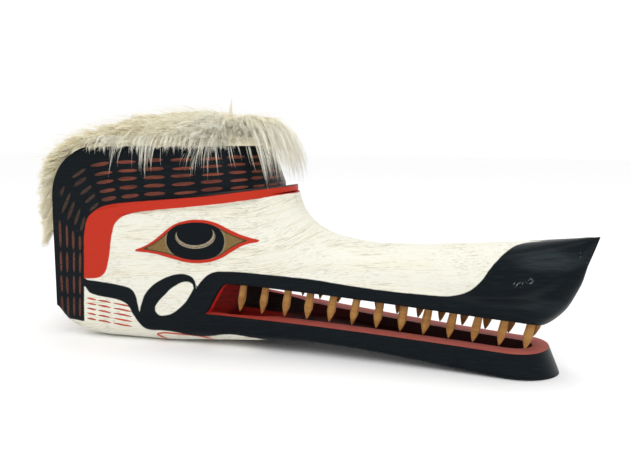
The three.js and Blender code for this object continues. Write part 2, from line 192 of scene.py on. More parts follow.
def wall_width(x, z):
    reach = (x - HEAD_ROUNDING_X) / (forehead_front(z) - HEAD_ROUNDING_X)
    return side_width(x) * np.sqrt(np.maximum(1 - np.maximum(reach, 0) ** 2, 0.002))


# The view that the painted shapes are laid out in. A point of the carving's near side
# has one place in it, in picture points, and the far side is painted as its mirror.
VIEW_AZIMUTH = math.radians(25)
VIEW_ELEVATION = math.radians(8)
VIEW_DISTANCE = 843.75
VIEW_TARGET_Z = 122.625
VIEW_FOCAL = 750
VIEW_MIDDLE = (315.5, 236.5)


def layout(points):
    """Picture places of points in millimetres, which are mirrored to the near side."""
    x, y, z = points[..., 0], -np.abs(points[..., 1]), points[..., 2] - VIEW_TARGET_Z
    sin_a, cos_a = math.sin(VIEW_AZIMUTH), math.cos(VIEW_AZIMUTH)
    sin_e, cos_e = math.sin(VIEW_ELEVATION), math.cos(VIEW_ELEVATION)
    ahead = sin_a * x - cos_a * y
    depth = VIEW_DISTANCE - (ahead * cos_e + z * sin_e)
    across = cos_a * x + sin_a * y
    up = -ahead * sin_e + z * cos_e
    return np.stack([
        VIEW_MIDDLE[0] + VIEW_FOCAL * across / depth,
        VIEW_MIDDLE[1] - VIEW_FOCAL * up / depth,
    ], axis=-1)


STROKE_STEPS = 6


def stroke(*points):
    """Points along a smooth curve through the given picture places."""
    points = np.array(points, float)
    ends = np.concatenate([[2 * points[0] - points[1]], points, [2 * points[-1] - points[-2]]])
    curve = []
    for p0, p1, p2, p3 in zip(ends, ends[1:], ends[2:], ends[3:]):
        for t in np.arange(STROKE_STEPS) / STROKE_STEPS:
            curve.append(0.5 * (2 * p1 + (p2 - p0) * t + (2 * p0 - 5 * p1 + 4 * p2 - p3) * t * t
                                + (3 * p1 - p0 - 3 * p2 + p3) * t**3))
    return np.array(curve + [points[-1]])


def ring(*points):
    """A smooth closed outline through the given picture places."""
    looped = points[-2:] + points + points[:3]
    return stroke(*looped)[2 * STROKE_STEPS:-2 * STROKE_STEPS - 1]


def line_distance(points, line):
    """Distance from each point to an open line."""
    best = np.full(len(points), 1e9)
    for a, b in zip(line, line[1:]):
        d = b - a
        t = np.clip(((points - a) @ d) / max(d @ d, 1e-9), 0, 1)
        best = np.minimum(best, ((points - a - t[:, None] * d) ** 2).sum(1))
    return np.sqrt(best)


def shape_distance(points, shape, margin=14):
    """Distance from each point to a closed outline, below zero inside it."""
    low, high = shape.min(0) - margin, shape.max(0) + margin
    near = ((points > low) & (points < high)).all(1)
    result = np.full(len(points), float(margin))
    p = points[near]
    inside = np.zeros(len(p), bool)
    for a, b in zip(shape, np.roll(shape, -1, axis=0)):
        if a[1] != b[1]:
            crossing = (a[1] > p[:, 1]) != (b[1] > p[:, 1])
            reach = (b[0] - a[0]) * (p[:, 1] - a[1]) / (b[1] - a[1]) + a[0]
            inside ^= crossing & (p[:, 0] < reach)
    away = line_distance(p, np.concatenate([shape, shape[:1]]))
    result[near] = np.where(inside, -away, away)
    return result


# Painted shapes, in picture places: closed outlines, and after them three open lines
CREST_BLACK = np.concatenate([
    stroke((84.4, 321.4), (84.2, 300), (84.2, 279)),
    stroke((90, 262), (92, 240), (96, 222), (108, 212), (130, 206), (206, 200), (262, 193),
           (297, 187.5), (314, 185)),
    np.array([(314, 40), (-20, 40), (-20, 310), (64.5, 317.3)])])
SIDE_BLACK = np.concatenate([
    stroke((82, 279), (104.6, 282.3), (123.8, 286), (131.4, 289.3), (135.9, 295.7),
           (137.8, 304.6), (139.5, 311.5)),
    stroke((139.5, 311.5), (142.5, 300), (146.9, 291.3), (156.3, 282.5), (168.8, 276.3),
           (178.8, 274), (186.3, 274.5), (192.5, 277.5), (195.4, 282.5), (196.2, 288.5)),
    stroke((196.2, 288.5), (200, 282.5), (207.5, 275), (216.3, 271.8), (227.5, 271.5),
           (245, 272.5), (270, 275), (300, 278.1), (320, 280.7), (375.9, 289.6),
           (435.5, 295.6), (454.9, 295.4), (469.9, 290.6), (481.3, 280.8), (490.5, 268.2),
           (502, 255.6), (513.5, 246.8), (524, 243.2), (540, 241), (560, 238.5)),
    np.array([(575, 200), (660, 200), (660, 430), (314, 430), (314, 346)]),
    stroke((300, 344.5), (270, 340.6), (245, 336.3), (227.5, 334.4), (207.5, 336.3),
           (190, 335), (173.8, 331.9), (163.8, 330.6), (151.8, 329.9), (144.2, 327.6),
           (137.8, 321.2), (132.7, 313.6), (127.6, 304.6), (117.4, 299.5), (102, 296.4),
           (90.6, 293.2), (85.5, 286.8), (82, 284))])
JOINT_OVAL = ring(
    (155, 308.8), (157.5, 313.8), (163.1, 315.6), (173.8, 312.6), (185, 302.5), (191.3, 292.5),
    (193.6, 287.5), (192.3, 284), (188.1, 281.7), (181.3, 282.6), (172.5, 287.6),
    (163.8, 295.8), (157.5, 303))
BROW_RED = np.concatenate([
    stroke((84, 278.4), (84, 255), (84, 237), (86.6, 221), (92, 213), (104, 206), (126, 202.6),
           (158, 200.2), (202, 196.6), (230, 193.4), (270, 188.6), (296, 185.4), (314, 182.8)),
    stroke((314, 189), (297, 192.6), (280, 195), (240, 201.4), (206, 205.4), (170, 208.8),
           (142, 211.6), (126, 215), (116, 222), (112, 233), (110, 249), (108, 263),
           (105, 272.4), (99, 277.4), (90, 278.6))])
EYE_OUTSIDE = np.concatenate([
    stroke((134.8, 249.8), (145, 245.6), (155, 239.4), (166.3, 229.8), (176.3, 223.4),
           (187.5, 220.3), (196.3, 219.5), (206.3, 220.3), (216.3, 223.1), (226.3, 228.1),
           (238.8, 233.8), (250, 237.8), (258.1, 239.4), (259.9, 241.2)),
    stroke((259.9, 241.2), (257.5, 242.5), (248.8, 243.8), (240, 246.9), (230, 253.1),
           (220, 258.8), (208.8, 262.3), (197.5, 263.4), (186.3, 262.5), (175, 259.6),
           (163.8, 256.3), (151.3, 253.1), (141.3, 251.9), (134.8, 251.4))])
EYE_INSIDE = np.concatenate([
    stroke((141.3, 248.9), (152.5, 243.8), (161.3, 237.5), (168.1, 231.4), (176.3, 226.3),
           (187.5, 223.4), (196.3, 222.9), (206.3, 223.8), (215, 226.4), (222.5, 230),
           (232.5, 234.8), (241.3, 238.4), (249.6, 240.9)),
    stroke((249.6, 240.9), (241.3, 243.1), (233.8, 246.5), (227, 250.9), (218.8, 255.8),
           (208.8, 258.9), (197.5, 260), (186.3, 259.1), (176.3, 256.5), (168.8, 254.4),
           (161.3, 252.8), (151.3, 250.8), (141.3, 248.9))])
EYE_MIDDLE = (195.5, 241.5)
EYE_HALF = (40, 24)
IRIS = ring(
    (166.3, 241.3), (168.1, 232.4), (176.3, 225.6), (187.5, 223), (197.5, 222.4),
    (207.5, 223.6), (215, 226.4), (220.4, 230.4), (223.7, 236.3), (224.2, 243.8),
    (221.9, 250.8), (216.3, 255.8), (207.5, 259.2), (196.3, 260.2), (185, 259),
    (175, 255.2), (169, 249.2))
HULL_RED_UPPER = ((156.6, 333.9), (164.4, 332.6), (180, 334), (196, 335.3), (215, 339))
HULL_RED_LOWER = ((156.6, 333.9), (160, 335.6), (164.5, 337.6), (172, 339.5))
LIP_GROOVE = ((452, 297.5), (474, 296.6), (511, 295.4), (534, 289.4), (563, 276.6), (577, 269),
              (590, 256), (600, 240))

PAINTED_SHAPES = {
    "crest": CREST_BLACK, "black": SIDE_BLACK, "brow": BROW_RED, "joint": JOINT_OVAL,
    "lid": EYE_OUTSIDE, "eye": EYE_INSIDE, "iris": IRIS}

# The five rows of dashes on the crest lie between gates across its band. A gate has a
# place on the first row and one on the fifth. The mitre of the corner is one of them.
BAND_GATES = (
    ((57.4, 314), (79.8, 319)), ((56.3, 292.5), (79.8, 296.5)), ((54.9, 273.5), (79.8, 275)),
    ((53.9, 249.5), (80, 251.5)), ((52.6, 213.2), (79.9, 234.5)), ((67.5, 180), (86.3, 213)),
    ((88, 166.5), (100, 201)), ((112.5, 162.4), (119.5, 197.5)), ((138.4, 161.3), (142, 195)),
    ((167.4, 160.3), (169.2, 193.5)), ((196.2, 159.2), (199.2, 191)),
    ((224.5, 157.7), (227.5, 188.5)), ((248, 156.8), (250.5, 186.2)),
    ((264.3, 156.5), (266.5, 184.6)), ((276.8, 156.5), (278.4, 183.4)),
    ((287, 156.8), (288, 182.3)))
BAND_MITRE = 5
CHEEK_COLUMNS = ((86.6, 0), (97, 1), (111.9, 2), (133.4, 3))
CHEEK_FIRST_ROW = 298.9
CHEEK_ROW_PITCH = 4.98
CHEEK_ROW_SLOPE = 0.19


# Fine sections of the carving

def upper_half(x):
    base, width = lip_height(x), side_width(x)
    groove, top = groove_height(x), crown_height(x)
    corner = 3 if x > MOUTH_CORNER_X else 0
    blend = smoothstep(-10, 60, x)
    floor_y = np.linspace(0, width - corner, 7)
    turn = quarter(5)[1:]
    t = np.linspace(0, 1, 15)[1:]
    band_z = mix(base + corner, groove, t)
    band_wall = mix(width, mix(wall_width(x, band_z), width, blend), smoothstep(0, 1, t))
    band_y = band_wall + lip_bulge(x) * np.sin(math.pi * t) - groove_depth(x) * t**2
    rise = eased(59)
    high_z = mix(groove, top, rise)
    boxy = snout_boxiness(x)
    arch = width * np.maximum(1 - rise**boxy, 0) ** (1 / boxy)
    hollow = nostril_hollow(x) * np.sin(math.pi * np.minimum(rise / 0.85, 1))
    sink = groove_depth(x) * (1 - smoothstep(0, 0.35, rise))
    high_y = np.maximum(mix(wall_width(x, high_z), arch, blend) - hollow - sink, 0)
    y = np.concatenate([
        floor_y, width - corner * (1 - np.sin(turn)), band_y, high_y, [0]])
    z = np.concatenate([
        np.full(7, base), base + corner * (1 - np.cos(turn)), band_z, high_z, [top]])
    return joined(x, y, z)


UPPER_FLOOR_FACES = 6


def nose_half(progress):
    start = upper_half(NOSE_ROUNDING_X)
    base, top = lip_height(NOSE_ROUNDING_X), crown_height(NOSE_ROUNDING_X)
    rise = (start[:, 2] - base) / (top - base)
    lowest = mix(base, NOSE_FRONT_LIP, progress**2)
    highest = mix(top, NOSE_FRONT_TOP, progress)
    height = mix(lowest, highest, rise)
    x = mix(NOSE_ROUNDING_X, nose_front(height), progress)
    prow = mix(1 - progress**1.25, math.sqrt(1 - progress**12), NOSE_BLUNT)
    lip = math.sqrt(1 - progress**2.8)
    y = start[:, 1] * mix(lip, prow, smoothstep(0.05, 0.75, rise))
    return joined(x, y, height)


def lower_half(x):
    foot, width, rim = underside_height(x), side_width(x), rim_height(x)
    flared = width + jaw_flare(x)
    flat = min(underside_flat(x), flared - 4)
    rounding = min(keel_rounding(x), rim - foot - 2)
    turn = quarter(17)
    down, out = np.cos(turn) ** 0.9, np.sin(turn) ** 0.9
    wall = np.linspace(0, 1, 11)[1:]
    top = np.linspace(1, 0, 8)[1:]
    y = np.concatenate([
        np.linspace(0, flat, 8)[:-1], mix(flat, flared, out), mix(flared, width, wall),
        width * top])
    z = np.concatenate([
        np.full(7, foot), mix(foot + rounding, foot, down), mix(foot + rounding, rim, wall),
        np.full(7, rim)])
    return joined(x, y, z)


LOWER_TOP_FACES = 7


def jaw_front_half(progress):
    start = lower_half(JAW_ROUNDING_X)
    rim = rim_height(JAW_ROUNDING_X)
    front = mix(JAW_FRONT_FOOT, JAW_FRONT_RIM, np.maximum(start[:, 2], 0) / rim)
    x = mix(JAW_ROUNDING_X, front, progress)
    y = start[:, 1] * math.sqrt(1 - progress**2.4)
    return joined(x, y, start[:, 2])


def round_front(stations, half, front, turns):
    """Sections of a block with a straight rear and a round front."""
    start = stations[-1]
    sections = [np.column_stack([np.full(len(yz), x), yz])
                for x in stations for yz in [np.array(half(x, x), float)]]
    for turn in quarter(turns + 1)[1:]:
        progress = math.sin(turn)
        narrowing = math.cos(turn) if turn < math.pi / 2 - 1e-6 else 0
        yz = np.array(half(start, mix(start, front(CREST_FOOT_Z), progress)), float)
        x = mix(start, np.array([front(z) for z in yz[:, 1]]), progress)
        sections.append(np.column_stack([x, yz[:, 0] * narrowing, yz[:, 1]]))
    return np.array(sections)


def crest_half(x, reach):
    width = side_width(x) - crest_inset(x)
    top = crest_top(reach)
    lean = CREST_LEAN * smoothstep(REAR_X, -240, x)
    knee = min(CREST_FOOT_Z, top - 4)
    edge = 2.5
    low = [(y, CREST_ROOT_Z) for y in (0, width / 2, width)]
    foot = [(width, z) for z in np.linspace(CREST_ROOT_Z, knee, 20)[1:]]
    side = [(mix(width, width - lean, t), mix(knee, top - edge, t))
            for t in np.linspace(0, 1, 14)[1:]]
    turn = [(width - lean - edge * (1 - math.cos(a)), top - edge * (1 - math.sin(a)))
            for a in (math.pi / 6, math.pi / 3, math.pi / 2)]
    across = [((width - lean - edge) * t, top) for t in (0.75, 0.5, 0.25, 0)]
    return low + foot + side + turn + across


def brow_half(x, reach):
    stand = side_width(x) + brow_stand(x)
    low, high = brow_low(reach), brow_high(reach)
    side = [(stand - 1.5 * t - 0.8 * (t > 0.95), mix(low, high, t)) for t in np.linspace(0, 1, 9)]
    return [(0, low), (stand - 3, low - 0.4), *side, (stand - 5, high), (stand - 12, high),
            (0, high)]


def crest_front(z):
    rise = (np.maximum(z, CREST_FOOT_Z) - CREST_FOOT_Z) / (CREST_HEIGHT - CREST_FOOT_Z)
    return mix(CREST_FRONT_LOW_X, CREST_FRONT_HIGH_X, rise)


def head_hollow_half(x, reach):
    inner = side_width(x) - WALL
    floor = underside_height(reach) + WALL
    flat = underside_flat(x) - 8
    bilge = [(flat + (inner - flat) * math.sin(a), floor + keel_rounding(x) * (1 - math.cos(a)))
             for a in quarter(7)[1:]]
    return [(0, floor), (flat, floor), *bilge, (inner, HOLLOW_TOP_Z), (0, HOLLOW_TOP_Z)]


def crest_hollow_half(x):
    width = side_width(x) - crest_inset(x) - CREST_LEAN - WALL
    roof = crest_top(x) - CREST_ROOF
    foot = HOLLOW_TOP_Z - 10
    return [(x, 0, foot), (x, width, foot), (x, width, roof), (x, 0, roof)]


def jaw_hollow_half(x):
    reach = max(x - JAW_ROUNDING_X, 0) / (JAW_TROUGH_END_X - JAW_ROUNDING_X)
    wall = (side_width(x) - JAW_WALL) * max(math.sqrt(max(1 - reach**2, 0)), 0.05)
    floor = trough_floor(x)
    return [(x, 0, floor), (x, wall * 0.7, floor), (x, wall * 0.88, floor + 2),
            (x, wall, rim_height(x) + 3), (x, 0, rim_height(x) + 3)]


def palate_half(x, _):
    wall = side_width(x) - JAW_WALL
    low, high = lip_height(x) - 3, lip_height(x) + PALATE_DEPTH
    return [(0, low), (wall, low), (wall * 0.93, high - 4), (wall * 0.8, high), (0, high)]


# Meshes

def to_frame(points):
    return (np.asarray(points) + (FRAME_SHIFT_X, 0, 0)) / 1000


def new_object(name, mesh):
    obj = bpy.data.objects.new(name, mesh)
    bpy.context.scene.collection.objects.link(obj)
    return obj


def ring_faces(count, around):
    """The faces between rings of points that follow one another."""
    grid = np.arange(count * around).reshape(count, around)
    turned = np.roll(grid, -1, axis=1)
    return np.stack([grid[:-1], turned[:-1], turned[1:], grid[1:]], axis=-1).reshape(-1, 4)


def loft(name, sections, slot=PAINT, slot_at=None, ends=PAINT):
    """A closed mesh through half sections and their mirror. slot_at gives the material
    slot of a face from its place in the half section."""
    sections = np.array(sections)
    rings = np.concatenate([sections, sections[:, -2:0:-1] * (1, -1, 1)], axis=1)
    count, around = rings.shape[:2]
    half = sections.shape[1] - 1
    slots = np.full((count - 1, around), slot)
    if slot_at:
        slots[:] = [slot_at(j if j < half else around - 1 - j) for j in range(around)]
    faces, face_slots = [ring_faces(count, around)], [slots.reshape(-1)]
    j = np.arange(half)
    for ring_index, flip in ((0, True), (count - 1, False)):
        corners = np.stack([j, j + 1, (around - j - 1) % around, (around - j) % around], axis=1)
        faces.append(ring_index * around + (corners[:, ::-1] if flip else corners))
        face_slots.append(np.full(half, ends))
    rounded, index = np.unique(np.round(rings.reshape(-1, 3), 4), axis=0, return_inverse=True)
    faces = index.reshape(-1)[np.concatenate(faces)]
    kept, kept_slots = [], []
    for face, face_slot in zip(faces.tolist(), np.concatenate(face_slots).tolist()):
        corners = [v for k, v in enumerate(face) if v != face[k - 1]]
        if len(set(corners)) == len(corners) > 2:
            kept.append(corners)
            kept_slots.append(face_slot)
    mesh = bpy.data.meshes.new(name)
    mesh.from_pydata(to_frame(rounded), [], kept)
    mesh.polygons.foreach_set("material_index", kept_slots)
    volume = 0
    for triangle in ([0, 1, 2], [0, 2, 3]):
        a, b, c = rounded[faces[:, triangle]].transpose(1, 0, 2)
        volume += (a * np.cross(b, c)).sum()
    if volume < 0:
        mesh.flip_normals()
    return new_object(name, mesh)


def eye_relief(places):
    """How far the eye stands out: a raised lid and a ball that swells inside it."""
    away = shape_distance(places, EYE_OUTSIDE)
    inside = shape_distance(places, EYE_INSIDE)
    from_middle = (places - EYE_MIDDLE) / EYE_HALF
    swell = np.maximum(1 - (from_middle**2).sum(1), 0)
    lid = 1.5 * smoothstep(2.2, -0.8, away)
    ball = (1.3 * swell - 0.5) * smoothstep(0.6, -1.2, inside)
    socket = -0.9 * np.exp(-((away - 5) / 5) ** 2) * (away > -1)
    return lid + ball + socket


def nose_relief(places):
    """A soft groove that parts the lip band from the nose, and the band's swelling."""
    line = stroke(*LIP_GROOVE)
    away = line_distance(places, line)
    begins = smoothstep(450, 500, places[:, 0])
    below = np.concatenate([line, [(640, 240), (640, 360), (450, 360)]])
    side = shape_distance(places, below, 30)
    band = np.exp(-((away - 13) / 8) ** 2) * (side < 0)
    above = np.exp(-((away - 11) / 7) ** 2) * (side > 0)
    return begins * (band + 0.3 * above - 1.1 * np.exp(-(away / 5) ** 2))


def carve(sections, relief, first, last):
    """Moves the points of half sections outwards by a relief given in picture places."""
    sections = np.array(sections)
    along = np.gradient(sections, axis=0)
    around = np.gradient(sections, axis=1)
    normal = unit(np.cross(around, along))
    if normal[len(sections) // 2, first, 1] < 0:
        normal = -normal
    normal[sections[..., 1] < 0.5] = 0
    places = layout(sections[:, first:last].reshape(-1, 3))
    depth = relief(places).reshape(len(sections), last - first, 1)
    sections[:, first:last] += normal[:, first:last] * depth
    return sections


def combine(target, tool, operation):
    """Joins one closed mesh to another, or cuts it away, and removes the tool."""
    modifier = target.modifiers.new(operation, "BOOLEAN")
    modifier.operation = operation
    modifier.solver = "MANIFOLD"
    modifier.material_mode = "INDEX"
    modifier.object = tool
    graph = bpy.context.evaluated_depsgraph_get()
    made = bpy.data.meshes.new_from_object(target.evaluated_get(graph))
    target.modifiers.clear()
    target.data = made
    bpy.data.objects.remove(tool)


def tooth_points(index, side, margin, radii, sides, squash):
    """Rings of a whittled peg, from its point up into the lip."""
    x = mix(TOOTH_FIRST_X, TOOTH_LAST_X, index / (TOOTH_COUNT - 1))
    tip = np.array([x, side * (side_width(x) - TOOTH_INSET), rim_height(x) + TOOTH_CLEARANCE])
    height = lip_height(x + TOOTH_LEAN) + TOOTH_SOCKET + margin - tip[2]
    angles = np.arange(sides) * 2 * math.pi / sides
    lean = math.atan2(TOOTH_LEAN, height)
    rings = []
    for radius, up in radii:
        r = (radius + margin) if radius > 0.05 else 0.02
        across, rise = r * np.cos(angles), up * height
        rings.append(tip + joined(
            across * math.cos(lean) + rise * math.sin(lean), r * squash * np.sin(angles),
            rise * math.cos(lean) - across * math.sin(lean)))
    return np.array(rings)


def tube_mesh(name, rings):
    """A closed mesh through whole rings, capped at both ends."""
    count, around = rings.shape[:2]
    faces = ring_faces(count, around).tolist()
    last = (count - 1) * around
    faces += [list(range(around))[::-1], list(range(last, last + around))]
    mesh = bpy.data.meshes.new(name)
    mesh.from_pydata(to_frame(rings.reshape(-1, 3)), [], faces)
    return mesh


def smooth(mesh, sharp_degrees):
    mesh.shade_smooth()
    mesh.set_sharp_from_angle(angle=math.radians(sharp_degrees))


def build_head():
    rear_runs = ((-262, 2.7), (BROW_REAR_X, 3), (MOUTH_CORNER_X, 1.75))
    upper_places = steps(REAR_X, *rear_runs, (-32, 1.7), (40, 2), (NOSE_ROUNDING_X, 2.8))
    upper = [upper_half(x) for x in upper_places]
    upper += [nose_half(t) for t in eased(38)]
    for relief in (eye_relief, nose_relief):
        upper = carve(upper, relief, UPPER_FLOOR_FACES + 5, len(upper[0]) - 1)
    head = loft("carved_head_visual", upper, ends=BARE,
                slot_at=lambda j: MOUTH if j < UPPER_FLOOR_FACES else PAINT)

    lower = [lower_half(x) for x in steps(REAR_X, *rear_runs, (JAW_ROUNDING_X, 3.2))]
    lower += [jaw_front_half(t) for t in eased(24)]
    top_start = len(lower[0]) - 1 - LOWER_TOP_FACES
    lower = loft("lower", lower, ends=BARE, slot_at=lambda j: RIM if j >= top_start else PAINT)

    corner = REAR_X + CREST_CORNER * (1 - np.cos(quarter(26)))
    crest_places = (*corner, *steps(REAR_X + CREST_CORNER, (HEAD_ROUNDING_X, 3))[1:])
    crest = round_front(crest_places, crest_half, crest_front, 30)
    brow = round_front(
        steps(BROW_REAR_X, (HEAD_ROUNDING_X, 3)), brow_half, lambda z: BROW_FRONT_X, 34)
    for part in (lower, loft("crest", crest, ends=BARE), loft("brow", brow)):
        combine(head, part, "UNION")

    trough_front = mix(JAW_ROUNDING_X, JAW_TROUGH_END_X, eased(12))
    cuts = [
        (round_front((REAR_X - 10, *steps(REAR_X, (HEAD_ROUNDING_X, 7))), head_hollow_half,
                     lambda z: min(float(forehead_front(z)) - 2 * WALL, HOLLOW_FRONT_X), 14), BARE),
        ([crest_hollow_half(x) for x in (REAR_X - 10, *corner[::3], CREST_HOLLOW_FRONT_X)], BARE),
        ([jaw_hollow_half(x) for x in (*steps(-130, (JAW_ROUNDING_X, 7)), *trough_front)], MOUTH),
        (round_front((-92, MOUTH_OPEN_X, *steps(-64, (NOSE_ROUNDING_X, 8))),
                     palate_half, lambda z: PALATE_END_X, 10), MOUTH),
    ]
    for k, (sections, slot) in enumerate(cuts):
        combine(head, loft(f"cut_{k}", sections, slot=slot, ends=slot), "DIFFERENCE")
    stick = [(0, 0), (0.45 * TOOTH_RADIUS, 0.14), (TOOTH_SHOULDER, 0.4), (TOOTH_RADIUS, 0.72),
             (TOOTH_RADIUS, 1)]
    for side in (-1, 1):
        for i in range(TOOTH_COUNT):
            socket = tube_mesh("socket", tooth_points(i, side, GAP, stick, 12, 1))
            combine(head, new_object("socket", socket), "DIFFERENCE")
    return head


head = build_head()
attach(head, "root")
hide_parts("carved_head")


def set_values(mesh, **values):
    """Keeps named numbers on the points of a mesh."""
    for name, numbers in values.items():
        layer = mesh.attributes.new(name, "FLOAT", "POINT")
        layer.data.foreach_set("value", np.asarray(numbers, dtype=np.float32))


def mesh_points(mesh):
    flat = np.empty(len(mesh.vertices) * 3)
    mesh.vertices.foreach_get("co", flat)
    return flat.reshape(-1, 3) * 1000 - (FRAME_SHIFT_X, 0, 0)


CORRECTIONS = 6


def cross(a, b):
    return a[:, 0] * b[:, 1] - a[:, 1] * b[:, 0]


def band_place(places):
    """The column and the row of each place in the band of dashes on the crest. Its place in
    a cell between two gates is guessed as the middle, and then corrected a few times."""
    column, row, best = (np.full(len(places), size) for size in (-1.0, 0.0, 1e9))
    gates = np.array(BAND_GATES, float)
    for k, ((a, d), (b, c)) in enumerate(zip(gates, gates[1:])):
        ends = np.array((a, b, c, d))
        near = ((places > ends.min(0) - 9) & (places < ends.max(0) + 9)).all(1)
        along, across, twist = b - a, d - a, a - b + c - d
        s, t = np.full((2, near.sum(), 1), 0.5)
        for _ in range(CORRECTIONS):
            error = a + s * along + t * across + s * t * twist - places[near]
            by_s, by_t = along + t * twist, across + s * twist
            size = cross(by_s, by_t)
            size = np.where(np.abs(size) < 20, 20, size)
            s, t = (np.clip(s[:, 0] - cross(error, by_t) / size, -3, 4)[:, None],
                    np.clip(t[:, 0] - cross(by_s, error) / size, -3, 4)[:, None])
        s, t = s[:, 0], t[:, 0]
        miss = np.maximum(np.abs(s - 0.5) - 0.5, 0) + 0.1 * np.maximum(np.abs(t - 0.5) - 0.7, 0)
        index = np.flatnonzero(near)
        nearer = miss < best[index]
        index = index[nearer]
        column[index], row[index], best[index] = k + s[nearer], 1 + 4 * t[nearer], miss[nearer]
    return column, row


def paint_values(points):
    """What the paint of each point is worked out from."""
    places = layout(points)
    u, v = places.T
    values = {name: shape_distance(places, shape) for name, shape in PAINTED_SHAPES.items()}
    values["black"] = np.minimum(values["black"], values["crest"])
    values["column"], values["row"] = band_place(places)
    values["cheek_column"] = np.interp(u, *np.array(CHEEK_COLUMNS, float).T)
    values["cheek_row"] = (v - CHEEK_FIRST_ROW - CHEEK_ROW_SLOPE * (u - 91.5)) / CHEEK_ROW_PITCH
    for name, line in (("hull_upper", HULL_RED_UPPER), ("hull_lower", HULL_RED_LOWER)):
        values[name] = v - np.interp(u, *np.array(line, float).T)
    rising = 36 * smoothstep(238, 345, u) * np.clip((292 - v) / 70, 0.1, 1)
    x, y, z = points.T
    return values | dict(place_u=u, place_v=v, grain=v + rising, model_x=x, model_y=y, model_z=z)


set_values(head.data, **paint_values(mesh_points(head.data)))
smooth(head.data, 38)


class Value:
    """What a node gives out. Plain arithmetic with it adds further nodes."""

    def __init__(self, graph, socket):
        self.graph, self.socket = graph, socket


for sign, operation in {"add": "ADD", "sub": "SUBTRACT", "mul": "MULTIPLY", "truediv": "DIVIDE",
                        "pow": "POWER", "abs": "ABSOLUTE"}.items():
    setattr(Value, f"__{sign}__", lambda value, *others, operation=operation: (
        value.graph.math(operation, value, *others)))


class Graph:
    """Builds a material's nodes from short calls."""

    def __init__(self, name):
        self.material = bpy.data.materials.new(name)
        self.material.use_nodes = True
        self.tree = self.material.node_tree
        self.tree.nodes.clear()
        self.shader = self.tree.nodes.new("ShaderNodeBsdfPrincipled")
        output = self.tree.nodes.new("ShaderNodeOutputMaterial")
        self.tree.links.new(self.shader.outputs[0], output.inputs["Surface"])

    def plug(self, node, values):
        """Sets a node's inputs, by place or by name. A colour is given as three numbers."""
        for key, value in values.items() if isinstance(values, dict) else enumerate(values):
            socket = node.inputs[key]
            if isinstance(value, Value):
                self.tree.links.new(value.socket, socket)
            else:
                socket.default_value = (*value, 1) if socket.type == "RGBA" else value

    def add(self, kind, inputs=(), out=0, **settings):
        """Adds a node and gives what it gives out."""
        node = self.tree.nodes.new("ShaderNode" + kind)
        for name, value in settings.items():
            setattr(node, name, value)
        self.plug(node, inputs)
        return Value(self, node.outputs[out])

    def math(self, operation, *values):
        return self.add("Math", values, operation=operation)

    def attribute(self, name):
        return self.add("Attribute", out="Fac", attribute_name=name)

    def vector(self, x, y, z=0):
        return self.add("CombineXYZ", (x, y, z))

    def noise(self, vector, scale, detail=3, roughness=0.5, distortion=0):
        return self.add("TexNoise", {
            "Vector": vector, "Scale": scale, "Detail": detail, "Roughness": roughness,
            "Distortion": distortion}, "Fac")

    def stretched_noise(self, scale, *settings):
        """Noise that is fixed to the object and stretched along it."""
        place = self.add("TexCoord", out="Object")
        return self.noise(self.add("Mapping", {"Vector": place, "Scale": scale}), 1, *settings)

    def ramp(self, value, low, high, start=0, end=1):
        return self.add("MapRange", (value, low, high, start, end),
                        interpolation_type="SMOOTHSTEP")

    def window(self, value, low, high, soft=0.05):
        """1 between two numbers and 0 beyond them."""
        return (self.ramp(value, low - soft, low + soft)
                * self.ramp(value, high + soft, high - soft))

    def blend(self, factor, a, b):
        # The node's colours are its inputs 6 and 7 and its output 2
        return self.add("Mix", {0: factor, 6: a, 7: b}, 2, data_type="RGBA")

    def finish(self, colour, roughness, bump=None, strength=0.3, distance=0.0005, specular=0.5):
        self.shader.inputs["Specular IOR Level"].default_value = specular
        self.plug(self.shader, {"Base Color": colour, "Roughness": roughness})
        if bump:
            self.plug(self.shader, {"Normal": self.add("Bump", {
                "Strength": strength, "Distance": distance, "Height": bump})})
        return self.material


WHITE = (0.745, 0.735, 0.645)
AGED_WHITE = (0.735, 0.69, 0.54)
WORN_WHITE = (0.46, 0.44, 0.36)
GRAIN_LINE = (0.45, 0.41, 0.31)
BLACK = (0.0012, 0.0036, 0.0058)
GREY_BLACK = (0.009, 0.0145, 0.018)
# Painted highlight: the lit top of the brow, above its red
BROW_TOP_HIGHLIGHT = (0.06, 0.063, 0.06)
# Painted sheen on the black nose
NOSE_SHEEN = (0.022, 0.031, 0.034)
SCUFF = (0.4, 0.43, 0.44)
CHIP = (0.35, 0.38, 0.4)
RED = (0.455, 0.027, 0.0115)
DRY_RED = (0.4, 0.036, 0.023)
DASH_RED = (0.5, 0.085, 0.05)
DASH_SHADE = (0.2, 0.04, 0.025)
BAND_DASH = (0.19, 0.05, 0.03)
BAND_DASH_DARK = (0.06, 0.034, 0.024)
EYE_WOOD = (0.2, 0.125, 0.045)
EYE_WOOD_DARK = (0.11, 0.075, 0.03)
IRIS_RIM = (0.24, 0.21, 0.14)
# Painted shade along the inner edge of the lid
LID_EDGE_SHADE = (0.03, 0.018, 0.01)
CRESCENT = (0.2, 0.165, 0.115)
CRESCENT_PALE = (0.36, 0.3, 0.2)
CRESCENT_GROOVE = (0.02, 0.017, 0.012)
ROUGH_WHITE, ROUGH_RED, ROUGH_BLACK = ((size,) * 3 for size in (0.62, 0.5, 0.36))
HULL_START = 157


